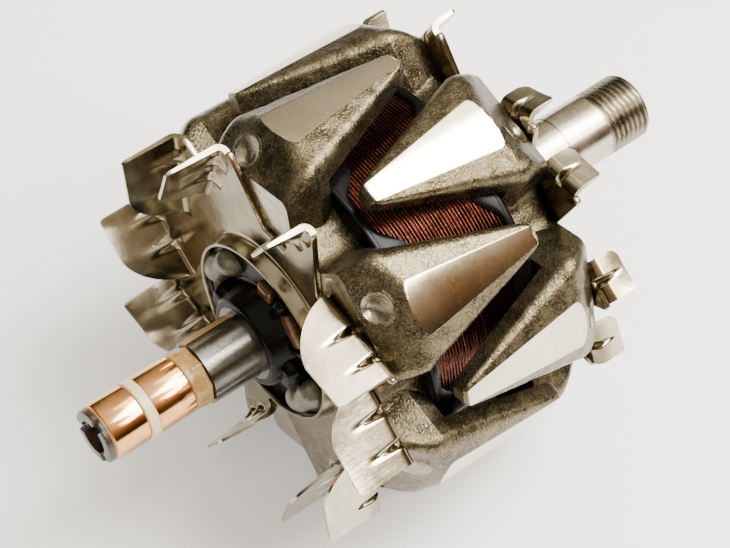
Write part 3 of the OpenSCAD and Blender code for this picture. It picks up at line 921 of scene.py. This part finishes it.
@dataclass
class Fan:
    """A stamped fan: a flat ring with swept arms, each arm's edge bent up into a blade."""

    name: str
    end: End
    angles: tuple[float, ...]
    sweeps: tuple[float, ...]
    heights: tuple[float, ...]
    inner_r: float
    low_share: float
    climb_share: float
    ribs: tuple[float, ...]
    rib_legs: tuple[float, float]
    hub_r: float
    collar_h: float
    # Sheet: thickness, flat ring, angles of an arm at the rim and the root, and outside of the bend.
    sheet: float = 1.5
    face_x: float = 28.6
    outer_r: float = 50.25
    ring_r: float = 31.5
    rim_angle: float = 4.0
    root_angle: float = 17.5
    bend: float = 2.7
    # Broken edges, and the lip and wall of the collar round the hole.
    broken: float = 0.2
    collar_lip: tuple[float, float] = (0.15, 0.75)
    collar_t: float = 0.9
    # Arm: corners set back from the rim and the ring, and how far the blade's foot lies on it.
    rim_back: float = 1.5
    root_back: float = 0.5
    arm_gap: float = 0.3
    arm_reach: float = 5.4
    arm_taper: float = 2.0
    taper_from: float = 0.72
    overlap: float = 0.03
    overlap_from: tuple[float, float] = (0.3, 0.8)
    # Blade: curve of its edge, round corner, least height, thinning and bow.
    climb_power: float = 1.6
    corner: float = 1.0
    least_wall: float = 0.4
    edge_thin: float = 0.5
    belly: float = 0.35
    # Gussets: half width and depth on the back and the front of the sheet, rounding and narrowing.
    rib_half: tuple[float, float] = (1.3, 2.9)
    rib_depth: tuple[float, float] = (1.0, 0.55)
    rib_soft: float = 0.35
    rib_taper: float = 0.3
    # Height above the bend where the painted shade on the sheet ends.
    shade_ends: float = 4.0
    # Points of the grids: round and across the plate, in the collar's bend, along the blade, and on its
    # arm, bend and wall.
    plate_columns: int = 720
    plate_steps: int = 9
    bend_steps: int = 8
    blade_columns: int = 65
    blade_steps: tuple[int, int, int] = (6, 10, 26)

    def chord(self, i: int) -> tuple[np.ndarray, np.ndarray, np.ndarray, float]:
        """Bend line of a blade in the fan's plane.

        Args:
            i: Number of the blade.

        Returns:
            Inner end, direction along the blade, direction toward its arm, and length.
        """
        ends = np.radians(CLAW_ANGLE + np.array([self.angles[i] - self.sweeps[i], self.angles[i]]))
        radii = np.array([self.inner_r, self.outer_r])
        inner, outer = np.stack([radii * np.cos(ends), radii * np.sin(ends)], -1)
        length = float(np.linalg.norm(outer - inner))
        along = (outer - inner) / length
        return inner, along, np.array([-along[1], along[0]]), length

    def put(self, flat: np.ndarray, up: np.ndarray) -> np.ndarray:
        """Put points of the fan in the frame.

        Args:
            flat: Places in the fan's plane in millimetres.
            up: Heights above the pole face.

        Returns:
            Points in metres.
        """
        x = self.end.value * (self.face_x + up) + SHIFT
        return np.stack([np.broadcast_to(x, flat.shape[:-1]), flat[..., 0], flat[..., 1]], -1) * MM

    def outline(self, theta: np.ndarray) -> np.ndarray:
        """Outside radius of the flat part at each angle.

        The largest of the closed ring and of each arm, whose boundary is two or three straight lines.

        Args:
            theta: Angles in degrees about the shaft.

        Returns:
            Radii in millimetres.
        """
        r = np.full_like(theta, self.ring_r)
        keep = self.bend + self.arm_gap
        t = np.radians(theta)
        for i, at in enumerate(self.angles):
            inner, along, side, length = self.chord(i)
            base = CLAW_ANGLE + at
            line = np.stack([inner + keep * side, inner + length * along + keep * side])
            polar = np.radians(base + np.array([self.rim_angle, self.root_angle]))
            radii = np.array([self.outer_r - self.rim_back, self.ring_r - self.root_back])
            rest = np.stack([radii * np.cos(polar), radii * np.sin(polar)], -1)
            swing = (np.degrees(np.arctan2(line[1, 1], line[1, 0])) - base) % 360.0
            past_rim = self.rim_angle < swing < 180.0
            corner = np.concatenate([line, rest[1:] if past_rim else rest])
            turn = np.degrees(np.arctan2(corner[:, 1], corner[:, 0]))
            turn = (turn - base + 180.0) % 360.0 - 180.0
            here = (theta - base + 180.0) % 360.0 - 180.0
            for a, b, ta, tb in zip(corner[:-1], corner[1:], turn[:-1], turn[1:]):
                edge = b - a
                normal = np.array([edge[1], -edge[0]])
                denominator = normal[0] * np.cos(t) + normal[1] * np.sin(t)
                reach = (normal @ a) / np.where(np.abs(denominator) < 1e-6, 1e-6, denominator)
                inside = (here >= ta) & (here <= tb)
                r = np.where(inside, np.maximum(r, np.clip(reach, 0.0, self.outer_r)), r)
        return r

    def plate(self) -> np.ndarray:
        """Closed sections of the flat part and of the collar turned up round its hole.

        Each section runs in under the plate to the hole, up the collar through the bend, and back out
        over the plate to the rim, whose edges are broken.

        Returns:
            Grid of points by angle and step round the section.
        """
        theta = np.linspace(0.0, 360.0, self.plate_columns, endpoint=False)
        rim = self.outline(theta)
        rim = np.convolve(np.concatenate([rim[-1:], rim, rim[:1]]), np.ones(3) / 3.0, "valid")[:, None]
        turn = np.linspace(0.0, np.pi / 2.0, self.bend_steps)
        tight = self.bend - self.sheet
        if self.collar_h > 0.0:
            at = self.hub_r + self.bend
            lip = self.hub_r + np.array([0.0, *self.collar_lip, self.collar_t])
            side = self.collar_h - self.broken
            hub_r = np.concatenate([at - self.bend * np.sin(turn), lip, at - tight * np.sin(turn[::-1])])
            hub_k = np.concatenate([
                self.bend - self.bend * np.cos(turn), [side, self.collar_h, self.collar_h, side],
                self.bend - tight * np.cos(turn[::-1]),
            ])
        else:
            at = self.hub_r
            hub_r, hub_k = np.array([at, at]), np.array([0.0, self.sheet])
        out = np.linspace(0.0, 1.0, self.plate_steps)
        flat_r = at + (rim - self.broken - at) * out[None, :]
        below, above = np.zeros(len(out) - 1), np.full(len(out) - 1, self.sheet)
        same = np.ones_like(rim)
        r = np.concatenate([flat_r[:, :0:-1], hub_r * same, flat_r[:, 1:], rim, rim], axis=1)
        k = np.concatenate([below, hub_k, above, [self.sheet - self.broken, self.broken]]) * same
        t = np.radians(theta)[:, None]
        return self.put(np.stack([r * np.cos(t), r * np.sin(t)], -1), k)

    def blade(self, i: int) -> tuple[np.ndarray, np.ndarray]:
        """The two faces of one blade, from its arm up through the bend to its edge.

        The edge climbs in a quarter of a superellipse from the low inner end, and the sheet thins
        toward it. Each gusset presses the bend in to a slanting line between a point on the arm and a
        point on the blade, with a round shape across it that narrows upward. The blade bows slightly
        toward its arm, and its foot is let into the arm's faces so that none of them coincide.

        Args:
            i: Number of the blade.

        Returns:
            Grids of the back and of the front by step along the blade and step up.
        """
        inner, along, side, length = self.chord(i)
        s = np.linspace(0.0, length, self.blade_columns)[:, None]
        height = self.heights[i]
        low = self.low_share * height
        left = 1.0 - np.minimum(s / (self.climb_share * length), 1.0)
        top = low + (height - low) * (1.0 - left**self.climb_power) ** (1.0 / self.climb_power)
        past = np.clip(s - (length - self.corner), 0.0, self.corner)
        fall = self.corner - np.sqrt(self.corner**2 - past**2)
        top = np.maximum(top - fall, self.bend + self.least_wall)
        reach = self.arm_reach - self.arm_taper * ramp(s, self.taper_from * length, length)
        on_arm, on_bend, on_wall = self.blade_steps
        turn = np.linspace(0.0, np.pi / 2.0, on_bend)[None, 1:]
        up = np.linspace(0.0, 1.0, on_wall)[None, 1:]
        flat_n = self.bend + (reach - self.bend) * np.linspace(1.0, 0.0, on_arm)[None, :]
        up_k = self.bend + (top - self.bend) * up
        foot, wall = self.rib_legs
        slope = 1.0 / foot + 1.0 / wall
        near, far = self.overlap_from
        sides = ((0.0, self.bend, 1.0), (self.sheet, self.bend - self.sheet, -1.0))
        faces = []
        for (level, curve, sign), rib_depth, rib_half in zip(sides, self.rib_depth, self.rib_half):
            bury = self.overlap * sign * ramp(flat_n, self.bend + near, self.bend + far)
            thin = level * (1.0 - self.edge_thin * up) + 0.0 * s
            n = np.concatenate([flat_n, self.bend - curve * np.sin(turn) + 0.0 * s, thin], axis=1)
            k = np.concatenate([level + bury, self.bend - curve * np.cos(turn) + 0.0 * s, up_k], axis=1)
            limit = 1.0 + level * np.hypot(1.0 / foot, 1.0 / wall)
            depth = limit - n / foot - k / wall
            push = rib_depth * soft_max(depth, np.zeros_like(depth), self.rib_soft) / slope
            width = rib_half * (1.0 - self.rib_taper * np.clip(k / wall, 0.0, 1.0))
            press = np.zeros_like(k)
            for share in self.ribs:
                across = np.clip(np.abs(s - share * length) / width, 0.0, 1.0)
                press = np.maximum(press, 0.5 * (1.0 + np.cos(np.pi * across)))
            bow = self.belly * np.sin(np.pi * s / length) * (k / height) ** 2
            n, k = n + press * push + bow, k + press * push
            faces.append(self.put(inner + s[..., None] * along + n[..., None] * side, k))
        return faces[0], faces[1]

    def mark(self, points: np.ndarray) -> np.ndarray:
        """Number that goes from minus one on the flat to one on the upper part of the blades; below zero
        it brings in the painted shade.
        """
        up = self.end.value * (points[..., 0] / MM - SHIFT) - self.face_x
        # Painted shade on the flat and the feet of the blades, fading out this far up.
        return 2.0 * ramp(up, self.sheet, self.bend + self.shade_ends) - 1.0

    def build(self, wardrobe: Wardrobe) -> None:
        """Make the fan.

        Args:
            wardrobe: Where the finishes come from.
        """
        skin = Skin()
        skin.ring(self.plate())
        for i in range(len(self.angles)):
            back, front = self.blade(i)
            both = np.stack([back, front])
            for face in (back, front, both[:, :, -1], both[:, :, 0], both[:, 0], both[:, -1]):
                # The mark lays painted shade on the flat and the blades' feet.
                skin.grid(face, mark=self.mark(face))
        piece = skin.build(self.name + "_stamping", [wardrobe.get(STAMPED_STEEL)], sharp=50.0)
        sheared = piece.modifiers.new("sheared_edge", "BEVEL")
        sheared.width = self.broken * MM
        sheared.segments = 2
        sheared.limit_method = "ANGLE"
        sheared.angle_limit = np.radians(60.0)
        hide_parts(self.name)


@dataclass
class SlipRings:
    """Two copper rings on a tan resin body with a rib between them and a faceted collar."""

    # Rings and the rib between them, the end, and the seat on the shaft.
    ring_r: float = 7.25
    bed_r: float = 5.95
    rings: tuple[tuple[float, float], ...] = ((-79.3, -70.2), (-67.5, -57.5))
    rib_r: float = 7.5
    end_x: float = -81.3
    end_r: float = 6.8
    seat_x: float = -52.6
    # Notches in the end: width and depth, direction of the first, count, and softness in degrees.
    notch: tuple[float, float] = (3.0, 1.6)
    notch_angle: float = 30.0
    notches: int = 3
    notch_soft: float = 2.0
    # Hole in the end and its lip, and the shaft's stub behind it.
    hole_r: float = 4.3
    hole_lip: float = 0.3
    stub_x: float = -79.0
    stub_r: float = 4.5
    # Round of the end as steps along and in, and its flare beside the outer ring along and out.
    end_round: tuple[tuple[float, float], ...] = ((0.0, 0.6), (0.15, 0.2), (0.5, 0.0))
    end_flare: tuple[float, float] = (0.35, 0.1)
    # Rounds of a ring at its bed and outside, the gap under it, and the edge of the rib.
    ring_rounds: tuple[float, float] = (0.1, 0.35)
    clearance: float = 0.05
    rib_round: float = 0.3
    # Collar: round part and where it ends, then the flats, their corners and their edge at the seat.
    collar_r: float = 7.2
    collar_round: float = 0.25
    collar_run: tuple[float, float] = (1.5, 1.9)
    facets: int = 8
    flats: float = 7.0
    corner_r: float = 7.7
    corner_soft: float = 0.2
    seat_break: float = 0.4
    # Points round a ring and round the body.
    ring_columns: int = 144
    body_columns: int = 360

    def ring(self, name: str, span: tuple[float, float], wardrobe: Wardrobe) -> None:
        """One ring with broken edges.

        Args:
            name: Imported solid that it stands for.
            span: Its two ends along the shaft.
            wardrobe: Where the finishes come from.
        """
        bed = (self.bed_r, self.ring_rounds[0])
        edge = (self.ring_r, self.ring_rounds[1])
        outline = rounded([(span[0], *bed), (span[0], *edge), (span[1], *edge), (span[1], *bed)])
        skin = Skin()
        skin.ring(turned(outline, self.ring_columns))
        piece = skin.build(name + "_turned", [wardrobe.get(RING_COPPER)], sharp=60.0)
        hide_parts(name)

    def body(self, wardrobe: Wardrobe) -> None:
        """The resin body: a profile carried round the shaft, notched at its end and faceted at the seat.

        Args:
            wardrobe: Where the finishes come from.
        """
        angle = np.linspace(0.0, 360.0, self.body_columns, endpoint=False)[:, None]
        first = CLAW_ANGLE + self.notch_angle
        half = 180.0 / self.notches
        off = (angle - first + half) % (2.0 * half) - half
        wide = np.degrees(self.notch[0] / 2.0 / self.end_r)
        closed = ramp(np.abs(off), wide - self.notch_soft, wide + self.notch_soft)
        end = self.end_x + self.notch[1] * (1.0 - closed)
        half = 180.0 / self.facets
        facet = np.radians((angle + half) % (2.0 * half) - half)
        corners = np.full_like(angle, self.corner_r)
        flat = soft_min(self.flats / np.cos(facet), corners, self.corner_soft)
        (a0, a1), (b0, b1) = self.rings
        tan, dark_end, cream = 0, 1, 2
        bed = self.bed_r - self.clearance
        edge, lip, seat = self.rib_round, self.collar_round, self.seat_break
        back, out = self.end_flare
        round_to, flat_from = self.collar_run
        # Place along the shaft, radius and finish of each step, from the hole out and back to the seat.
        steps = [
            # The darker brown resin covers the hole, the end and its round.
            (self.stub_x, self.hole_r, dark_end),
            (end, self.hole_r, dark_end),
            (end, self.hole_r + self.hole_lip, dark_end),
            *[(end + along, self.end_r - inset, dark_end) for along, inset in self.end_round],
            (a0 - back, self.end_r, tan),
            (a0, self.end_r + out, tan),
            (a0, bed, tan),
            (a1, bed, cream),
            (a1, self.rib_r - edge, cream),
            (a1 + edge, self.rib_r, cream),
            (b0 - edge, self.rib_r, cream),
            (b0, self.rib_r - edge, cream),
            (b0, bed, tan),
            (b1, bed, tan),
            (b1, self.collar_r - lip, tan),
            (b1 + lip, self.collar_r, tan),
            (b1 + round_to, self.collar_r, tan),
            (b1 + flat_from, flat, tan),
            (self.seat_x - seat, flat, tan),
            (self.seat_x, flat - seat, tan),
            (self.seat_x, self.stub_r, tan),
            (self.stub_x, self.stub_r, dark_end),
        ]
        same = np.ones_like(angle)
        x = np.concatenate([same * s[0] for s in steps], axis=1)
        r = np.concatenate([same * s[1] for s in steps], axis=1)
        slots = np.broadcast_to([s[2] for s in steps], x.shape)
        skin = Skin()
        skin.ring(place(x, r, angle), slot=slots)
        finishes = [wardrobe.get(TAN_RESIN), wardrobe.get(DARK_END_RESIN), wardrobe.get(CREAM_RESIN)]
        piece = skin.build("slip_ring_body", finishes, sharp=28.0)
        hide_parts("slip_ring_moulding")

    def build(self, wardrobe: Wardrobe) -> None:
        """Make the body and both rings.

        Args:
            wardrobe: Where the finishes come from.
        """
        self.body(wardrobe)
        self.ring("slip_ring_outer", self.rings[0], wardrobe)
        self.ring("slip_ring_inner", self.rings[1], wardrobe)


@dataclass
class DriveThread:
    """The thread at the drive end, a sleeve of one helical ridge over the shaft's core."""

    start_x: float = 66.0
    end_x: float = 78.5
    crest_r: float = 8.45
    root_r: float = 7.62
    core_r: float = 7.3
    pitch: float = 1.5
    chamfer: float = 1.3
    chamfer_slope: float = 0.75
    # Shares of half a pitch that are flat at the root and that slope, and the plain run at the start.
    root_flat: float = 0.12
    flank_share: float = 0.72
    run_out: float = 1.0
    # Points round and along the thread.
    rows: int = 160
    steps: int = 151

    def build(self, wardrobe: Wardrobe) -> None:
        """Make the thread: a sloped ridge with a flat crest and root that moves one pitch a turn.

        Args:
            wardrobe: Where the finishes come from.
        """
        x = np.linspace(self.start_x, self.end_x, self.steps)[None, :]
        angle = np.linspace(0.0, 360.0, self.rows, endpoint=False)[:, None]
        step = (x - self.start_x) / self.pitch - angle / 360.0
        saw = 2.0 * np.abs(step - np.floor(step) - 0.5)
        shape = np.clip((saw - self.root_flat) / self.flank_share, 0.0, 1.0)
        r = self.root_r + (self.crest_r - self.root_r) * shape
        plain = 1.0 - ramp(x, self.start_x, self.start_x + self.run_out)
        r = r + (self.crest_r - r) * plain
        past = np.maximum(x - (self.end_x - self.chamfer), 0.0)
        r = np.minimum(r, self.crest_r - past * self.chamfer_slope)
        core = np.full((self.rows, 1), self.core_r)
        r = np.concatenate([core, r, core], axis=1)
        x = np.concatenate([[[self.start_x]], x, [[self.end_x]]], axis=1)
        skin = Skin()
        skin.ring(place(x, r, angle))
        piece = skin.build("drive_thread", [wardrobe.get(THREAD_STEEL)], sharp=45.0)


@dataclass(frozen=True)
class Block:
    """A rounded block that stands on the lead guide's disc.

    It has a direction from the first claw in degrees, the distance of its middle from the shaft, its
    half size along and across that direction, its height, and the squareness of its plan.
    """

    angle: float
    middle: float
    half: tuple[float, float]
    up: float
    power: float


@dataclass
class LeadGuide:
    """Black guide between the fan and the rear bearing seat, with its bosses, tags and clips."""

    disc_r: float = 22.5
    disc_x: float = -32.2
    face_x: float = -28.6
    hub_r: float = 12.0
    hub_taper: tuple[float, float] = (1.0, 0.6)
    seat_x: float = -39.0
    bore_r: float = 9.5
    # Rounds of the bore and back, the disc's rim, the hub's root and the hub's end.
    fine_round: float = 0.2
    disc_round: float = 0.8
    root_round: float = 1.0
    hub_round: float = 1.2
    # Clips: place, size, the depth, place and width of the waist, and the shape of the ends.
    clip_r: float = 18.0
    clip_round: float = 3.7
    clip_half: float = 7.2
    clip_up: float = 1.15
    clip_angle: float = -46.0
    clip_waist: tuple[float, float, float] = (0.26, 0.6, 2.1)
    clip_flare: float = 0.22
    clip_bury: float = 0.12
    clip_end: float = 5.0
    clip_least: float = 0.002
    # Blocks on the disc: share that their tops draw in, the bosses of one half, and the two tags.
    top_round: float = 0.3
    bosses: tuple[Block, ...] = (
        Block(-70.0, 12.2, (3.2, 4.0), 5.0, 3.0),
        Block(36.0, 15.6, (4.2, 1.3), 2.6, 6.0),
        Block(78.0, 14.6, (3.2, 1.1), 2.2, 6.0),
    )
    small_tag: Block = Block(16.0, 14.9, (2.1, 2.4), 1.6, 9.0)
    large_tag: Block = Block(60.0, 14.9, (2.1, 4.8), 1.6, 9.0)
    # Points of the grids, and the levels up the sides of a block below its crown.
    columns: int = 144
    clip_grid: tuple[int, int] = (61, 33)
    block_columns: int = 64
    block_levels: tuple[float, ...] = (-0.1, 0.0, 0.3, 0.5)
    crown_steps: int = 9

    def on_disc(
        self, angle: float, radial: np.ndarray, across: np.ndarray, up: np.ndarray
    ) -> np.ndarray:
        """Put points given from the disc's face in the frame.

        Args:
            angle: Direction from the first claw in degrees.
            radial: Distances from the shaft along that direction.
            across: Offsets square to it.
            up: Heights above the face of the disc.

        Returns:
            Points in metres.
        """
        turn = CLAW_ANGLE + angle + np.degrees(np.arctan2(across, radial))
        return place(self.disc_x - up, np.hypot(radial, across), turn)

    def lump(self, skin: Skin, block: Block, turn: float = 0.0) -> None:
        """Add a block that stands on the disc.

        Its plan is a superellipse that keeps its size up the sides and shrinks in a round at the top.

        Args:
            skin: Where the grid goes.
            block: Its place, size and squareness.
            turn: Degrees that it is turned about the shaft.
        """
        t = np.linspace(0.0, 2.0 * np.pi, self.block_columns, endpoint=False)[None, :]
        crown = 0.5 + 0.5 * np.sin(np.linspace(0.1, np.pi / 2.0, self.crown_steps))
        v = np.concatenate([self.block_levels, crown])[:, None]
        shrink = 1.0 - self.top_round * np.maximum(v - 0.5, 0.0) ** 2 * 4.0
        c, s = np.cos(t), np.sin(t)
        plan = (np.abs(c) ** block.power + np.abs(s) ** block.power) ** (-1.0 / block.power)
        radial = block.middle + block.half[0] * plan * c * shrink
        across = block.half[1] * plan * s * shrink
        points = self.on_disc(block.angle + turn, radial, across, block.up * v + 0.0 * t)
        skin.grid(points, wrap_v=True)
        skin.cap(points[0])
        skin.cap(points[-1])

    def clip(self, name: str, angle: float, wardrobe: Wardrobe) -> None:
        """A clip over a coil end: half a tube with a waist, closed at both ends by rounds.

        Args:
            name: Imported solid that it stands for.
            angle: Direction from the first claw in degrees.
            wardrobe: Where the finishes come from.
        """
        rows, columns = self.clip_grid
        across = self.clip_half * np.sin(np.linspace(-np.pi / 2.0, np.pi / 2.0, rows))[:, None]
        turn = np.linspace(-self.clip_bury, np.pi + self.clip_bury, columns)[None, :]
        deep, at, wide = self.clip_waist
        waist = 1.0 - deep * np.exp(-(((across - at) / wide) ** 2))
        close = 1.0 - (np.abs(across) / self.clip_half) ** self.clip_end
        size = self.clip_round * waist * np.maximum(close, self.clip_least) ** 0.5
        flare = self.clip_flare * across * ramp(across, 0.0, self.clip_half)
        radial = self.clip_r + size * np.cos(turn) - flare
        up = self.clip_up * size * np.sin(turn)
        points = self.on_disc(angle, radial, across + 0.0 * turn, up)
        skin = Skin()
        skin.grid(points, wrap_v=True)
        skin.cap(points[0])
        skin.cap(points[-1])
        piece = skin.build(name + "_bent", [wardrobe.get(TINNED_STEEL)], sharp=60.0)
        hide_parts(name)

    def tag(self, name: str, block: Block, wardrobe: Wardrobe) -> None:
        """A terminal tag: a low rounded block on the disc.

        Args:
            name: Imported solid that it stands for.
            block: Its place and size.
            wardrobe: Where the finishes come from.
        """
        skin = Skin()
        self.lump(skin, block)
        piece = skin.build(name + "_pressed", [wardrobe.get(BROWN_BRASS)], sharp=50.0)
        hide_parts(name)

    def build(self, wardrobe: Wardrobe) -> None:
        """Make the guide's disc and hub with rounded edges, its bosses, its tags and its clips.

        Args:
            wardrobe: Where the finishes come from.
        """
        root_r, end_r = self.hub_r + self.hub_taper[0], self.hub_r - self.hub_taper[1]
        outline = rounded([
            (self.face_x, self.bore_r, self.fine_round), (self.face_x, self.disc_r, self.fine_round),
            (self.disc_x, self.disc_r, self.disc_round), (self.disc_x, root_r, self.root_round),
            (self.seat_x, end_r, self.hub_round), (self.seat_x, self.bore_r, self.fine_round),
        ])
        skin = Skin()
        skin.ring(turned(outline, self.columns))
        for turn in (0.0, 180.0):
            for boss in self.bosses:
                self.lump(skin, boss, turn)
        piece = skin.build("lead_guide_moulded", [wardrobe.get(BLACK_NYLON)], sharp=50.0)
        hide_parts("lead_guide")
        self.clip("lead_clip_a", self.clip_angle, wardrobe)
        self.clip("lead_clip_b", self.clip_angle + 180.0, wardrobe)
        self.tag("terminal_a", self.small_tag, wardrobe)
        self.tag("terminal_b", self.large_tag, wardrobe)


@dataclass(frozen=True)
class SoftBox:
    """A soft box: its name, its place in millimetres, its size in metres, its watts and its colour."""

    name: str
    at: tuple[float, float, float]
    size: tuple[float, float]
    power: float
    colour: str


@dataclass(frozen=True)
class Studio:
    """Floor, room, lights and camera.

    Each sky is a list of heights, from 0 straight down to 1 straight up, with the colour there. The
    middle and left skies come in over the given spans of a number that grows from the camera's right
    to its left.
    """

    # Camera, in millimetres and degrees, fitted to the photograph.
    location: tuple[float, float, float] = (-269.991, -349.577, 543.208)
    target: tuple[float, float, float] = (-2.754, -0.646, -1.226)
    roll: float = -1.261
    lens: float = 147.6
    sensor: float = 36.0
    clip_range: tuple[float, float] = (0.01, 20.0)
    # Floor: height in millimetres, half size in metres, paint, and the light that fills its shadows.
    floor_z: float = -51.75
    floor_half: float = 3.0
    floor_colour: str = "#f4f3f0"
    floor_roughness: float = 0.7
    floor_glow: float = 0.45
    # Room.
    sky_strength: float = 1.7
    leftward: tuple[float, float, float] = (-0.6, 0.8, 0.0)
    middle_span: tuple[float, float] = (-0.35, 0.2)
    left_span: tuple[float, float] = (0.5, 0.75)
    right_sky: tuple[tuple[float, str], ...] = (
        (0.46, "#b0a898"), (0.5, "#1c1510"), (0.56, "#2a1f15"), (0.63, "#4e3822"), (0.71, "#7f5e3b"),
        (0.8, "#ab9370"), (0.9, "#e6dccb"), (0.95, "#ffffff"),
    )
    middle_sky: tuple[tuple[float, str], ...] = (
        (0.46, "#b0a898"), (0.5, "#2b2721"), (0.56, "#5f584a"), (0.64, "#9a917c"), (0.78, "#b5ab96"),
        (0.88, "#cdc3ae"), (0.95, "#efe9dc"),
    )
    left_sky: tuple[tuple[float, str], ...] = (
        (0.46, "#4a443a"), (0.5, "#15110d"), (0.7, "#2a241c"), (0.85, "#5c5446"), (0.97, "#c9c1b0"),
    )
    boxes: tuple[SoftBox, ...] = (
        SoftBox("key_box", (345.0, -230.0, 720.0), (0.46, 0.4), 20.0, "#ffffff"),
        SoftBox("top_box", (344.0, 150.0, 822.0), (0.34, 0.3), 1.6, "#fff2de"),
        SoftBox("front_box", (326.0, -614.0, 648.0), (0.34, 0.22), 6.0, "#fff6e8"),
    )

    def camera(self) -> None:
        """Stand the camera where the photograph was taken from."""
        lens = bpy.data.cameras.new("camera")
        lens.lens = self.lens
        lens.sensor_width = self.sensor
        lens.clip_start, lens.clip_end = self.clip_range
        stand = bpy.data.objects.new("camera", lens)
        bpy.context.scene.collection.objects.link(stand)
        eye, aim = Vector(self.location) * MM, Vector(self.target) * MM
        ahead = (aim - eye).normalized()
        level = ahead.cross(Vector((0.0, 0.0, 1.0))).normalized()
        right = Matrix.Rotation(np.radians(-self.roll), 3, ahead) @ level
        up = right.cross(ahead)
        turn = Matrix((right, up, -ahead)).transposed()
        stand.matrix_world = Matrix.Translation(eye) @ turn.to_4x4()
        bpy.context.scene.camera = stand

    def floor(self) -> None:
        """Lay a wide pale floor under the rotor."""
        mesh = bpy.data.meshes.new("floor")
        side, z = self.floor_half, self.floor_z * MM
        corners = [(-side, -side, z), (side, -side, z), (side, side, z), (-side, side, z)]
        mesh.from_pydata(corners, [], [(0, 1, 2, 3)])
        material = bpy.data.materials.new("pale_floor_paint")
        material.use_nodes = True
        paint = material.node_tree.nodes["Principled BSDF"]
        paint.inputs["Base Color"].default_value = linear(self.floor_colour)
        paint.inputs["Roughness"].default_value = self.floor_roughness
        paint.inputs["Emission Color"].default_value = linear("#ffffff")
        paint.inputs["Emission Strength"].default_value = self.floor_glow
        mesh.materials.append(material)
        sheet = bpy.data.objects.new("floor", mesh)
        bpy.context.scene.collection.objects.link(sheet)

    def light(self, box: SoftBox) -> None:
        """Hang one soft box so that it faces the rotor.

        Args:
            box: Its place, size, power and colour.
        """
        lamp = bpy.data.lights.new(box.name, "AREA")
        lamp.shape = "RECTANGLE"
        lamp.size, lamp.size_y = box.size
        lamp.energy = box.power
        lamp.color = linear(box.colour)[:3]
        stand = bpy.data.objects.new(box.name, lamp)
        bpy.context.scene.collection.objects.link(stand)
        at = Vector(box.at) * MM
        stand.matrix_world = Matrix.Translation(at) @ (-at).to_track_quat("-Z", "Y").to_matrix().to_4x4()

    def world(self) -> None:
        """Room round the set: dark low down, brown to white at the right, grey ahead, dark at the left."""
        world = bpy.data.worlds.new("room")
        bpy.context.scene.world = world
        world.use_nodes = True
        tree = world.node_tree
        tree.nodes.clear()
        way = node(tree, "ShaderNodeTexCoord").outputs["Generated"]
        height = node(tree, "ShaderNodeSeparateXYZ", {0: way}).outputs[2]
        limits = {"Value": height, "From Min": -1.0, "From Max": 1.0}
        share = node(tree, "ShaderNodeMapRange", limits).outputs[0]
        across = node(tree, "ShaderNodeVectorMath", {0: way, 1: self.leftward}, operation="DOT_PRODUCT")
        skies = []
        for stops in (self.right_sky, self.middle_sky, self.left_sky):
            band = node(tree, "ShaderNodeValToRGB", {0: share})
            elements = band.color_ramp.elements
            elements[0].position, elements[0].color = stops[0][0], linear(stops[0][1])
            elements[1].position, elements[1].color = stops[-1][0], linear(stops[-1][1])
            for position, code in stops[1:-1]:
                elements.new(position).color = linear(code)
            skies.append(band.outputs[0])
        sky = skies[0]
        for other, (low, high) in zip(skies[1:], (self.middle_span, self.left_span)):
            limits = {"Value": across.outputs["Value"], "From Min": low, "From Max": high}
            turn = node(tree, "ShaderNodeMapRange", limits).outputs[0]
            sky = node(tree, "ShaderNodeMix", {0: turn, 6: sky, 7: other}, data_type="RGBA").outputs[2]
        glow = node(tree, "ShaderNodeBackground", {"Color": sky, "Strength": self.sky_strength})
        node(tree, "ShaderNodeOutputWorld", {0: glow.outputs[0]})

    def build(self) -> None:
        """Set up the camera, the floor, the room and the soft boxes."""
        self.camera()
        self.floor()
        self.world()
        for box in self.boxes:
            self.light(box)


def main() -> None:
    """Load the frame, build each sub-assembly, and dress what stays."""
    logging.basicConfig(level=logging.INFO, format="%(name)s: %(message)s")
    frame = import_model()
    Studio().build()
    wardrobe = Wardrobe()
    PolePiece("rear_pole", End.SLIP_RING).build(wardrobe)
    PolePiece("front_pole", End.DRIVE).build(wardrobe)
    FieldCoil().build(wardrobe)
    Bobbin().build(wardrobe)
    Fan(
        "rear_fan", End.SLIP_RING,
        angles=(-35.0, -9.5, 27.0, 71.5, 102.5, 142.5, 170.0, 205.0, 252.5, 283.4),
        sweeps=(27.0, 24.5, 9.0, 26.0, 25.5, 25.0, 24.0, 10.0, 27.0, 23.5),
        heights=(15.8, 15.8, 12.6) + (15.8,) * 7, inner_r=36.3, low_share=0.15, climb_share=0.5,
        ribs=(0.42, 0.77), rib_legs=(4.0, 6.6), hub_r=22.5, collar_h=5.4,
    ).build(wardrobe)
    Fan(
        "front_fan", End.DRIVE,
        angles=(-46.4, -7.2, 33.4, 56.5, 91.5, 121.0, 155.0, 187.0, 219.0, 249.0, 281.0),
        sweeps=(10.5,) * 11, heights=(8.0,) * 11, inner_r=43.75, low_share=0.7, climb_share=0.2,
        ribs=(0.5,), rib_legs=(3.4, 4.4), hub_r=12.0, collar_h=0.0,
    ).build(wardrobe)
    SlipRings().build(wardrobe)
    DriveThread().build(wardrobe)
    LeadGuide().build(wardrobe)
    stays = {
        "shaft": SHAFT_STEEL, "pole_core": DARK_STEEL, "bearing_spacer": DRIVE_STEEL,
        "lead_bar_a": TAN_RESIN, "lead_bar_b": TAN_RESIN,
    }
    for name, finish in stays.items():
        wardrobe.dress(frame["nodes"][name], finish)
        LOG.info("%s dressed in %s", name, finish.name)


if __name__ == "__main__":
    main()
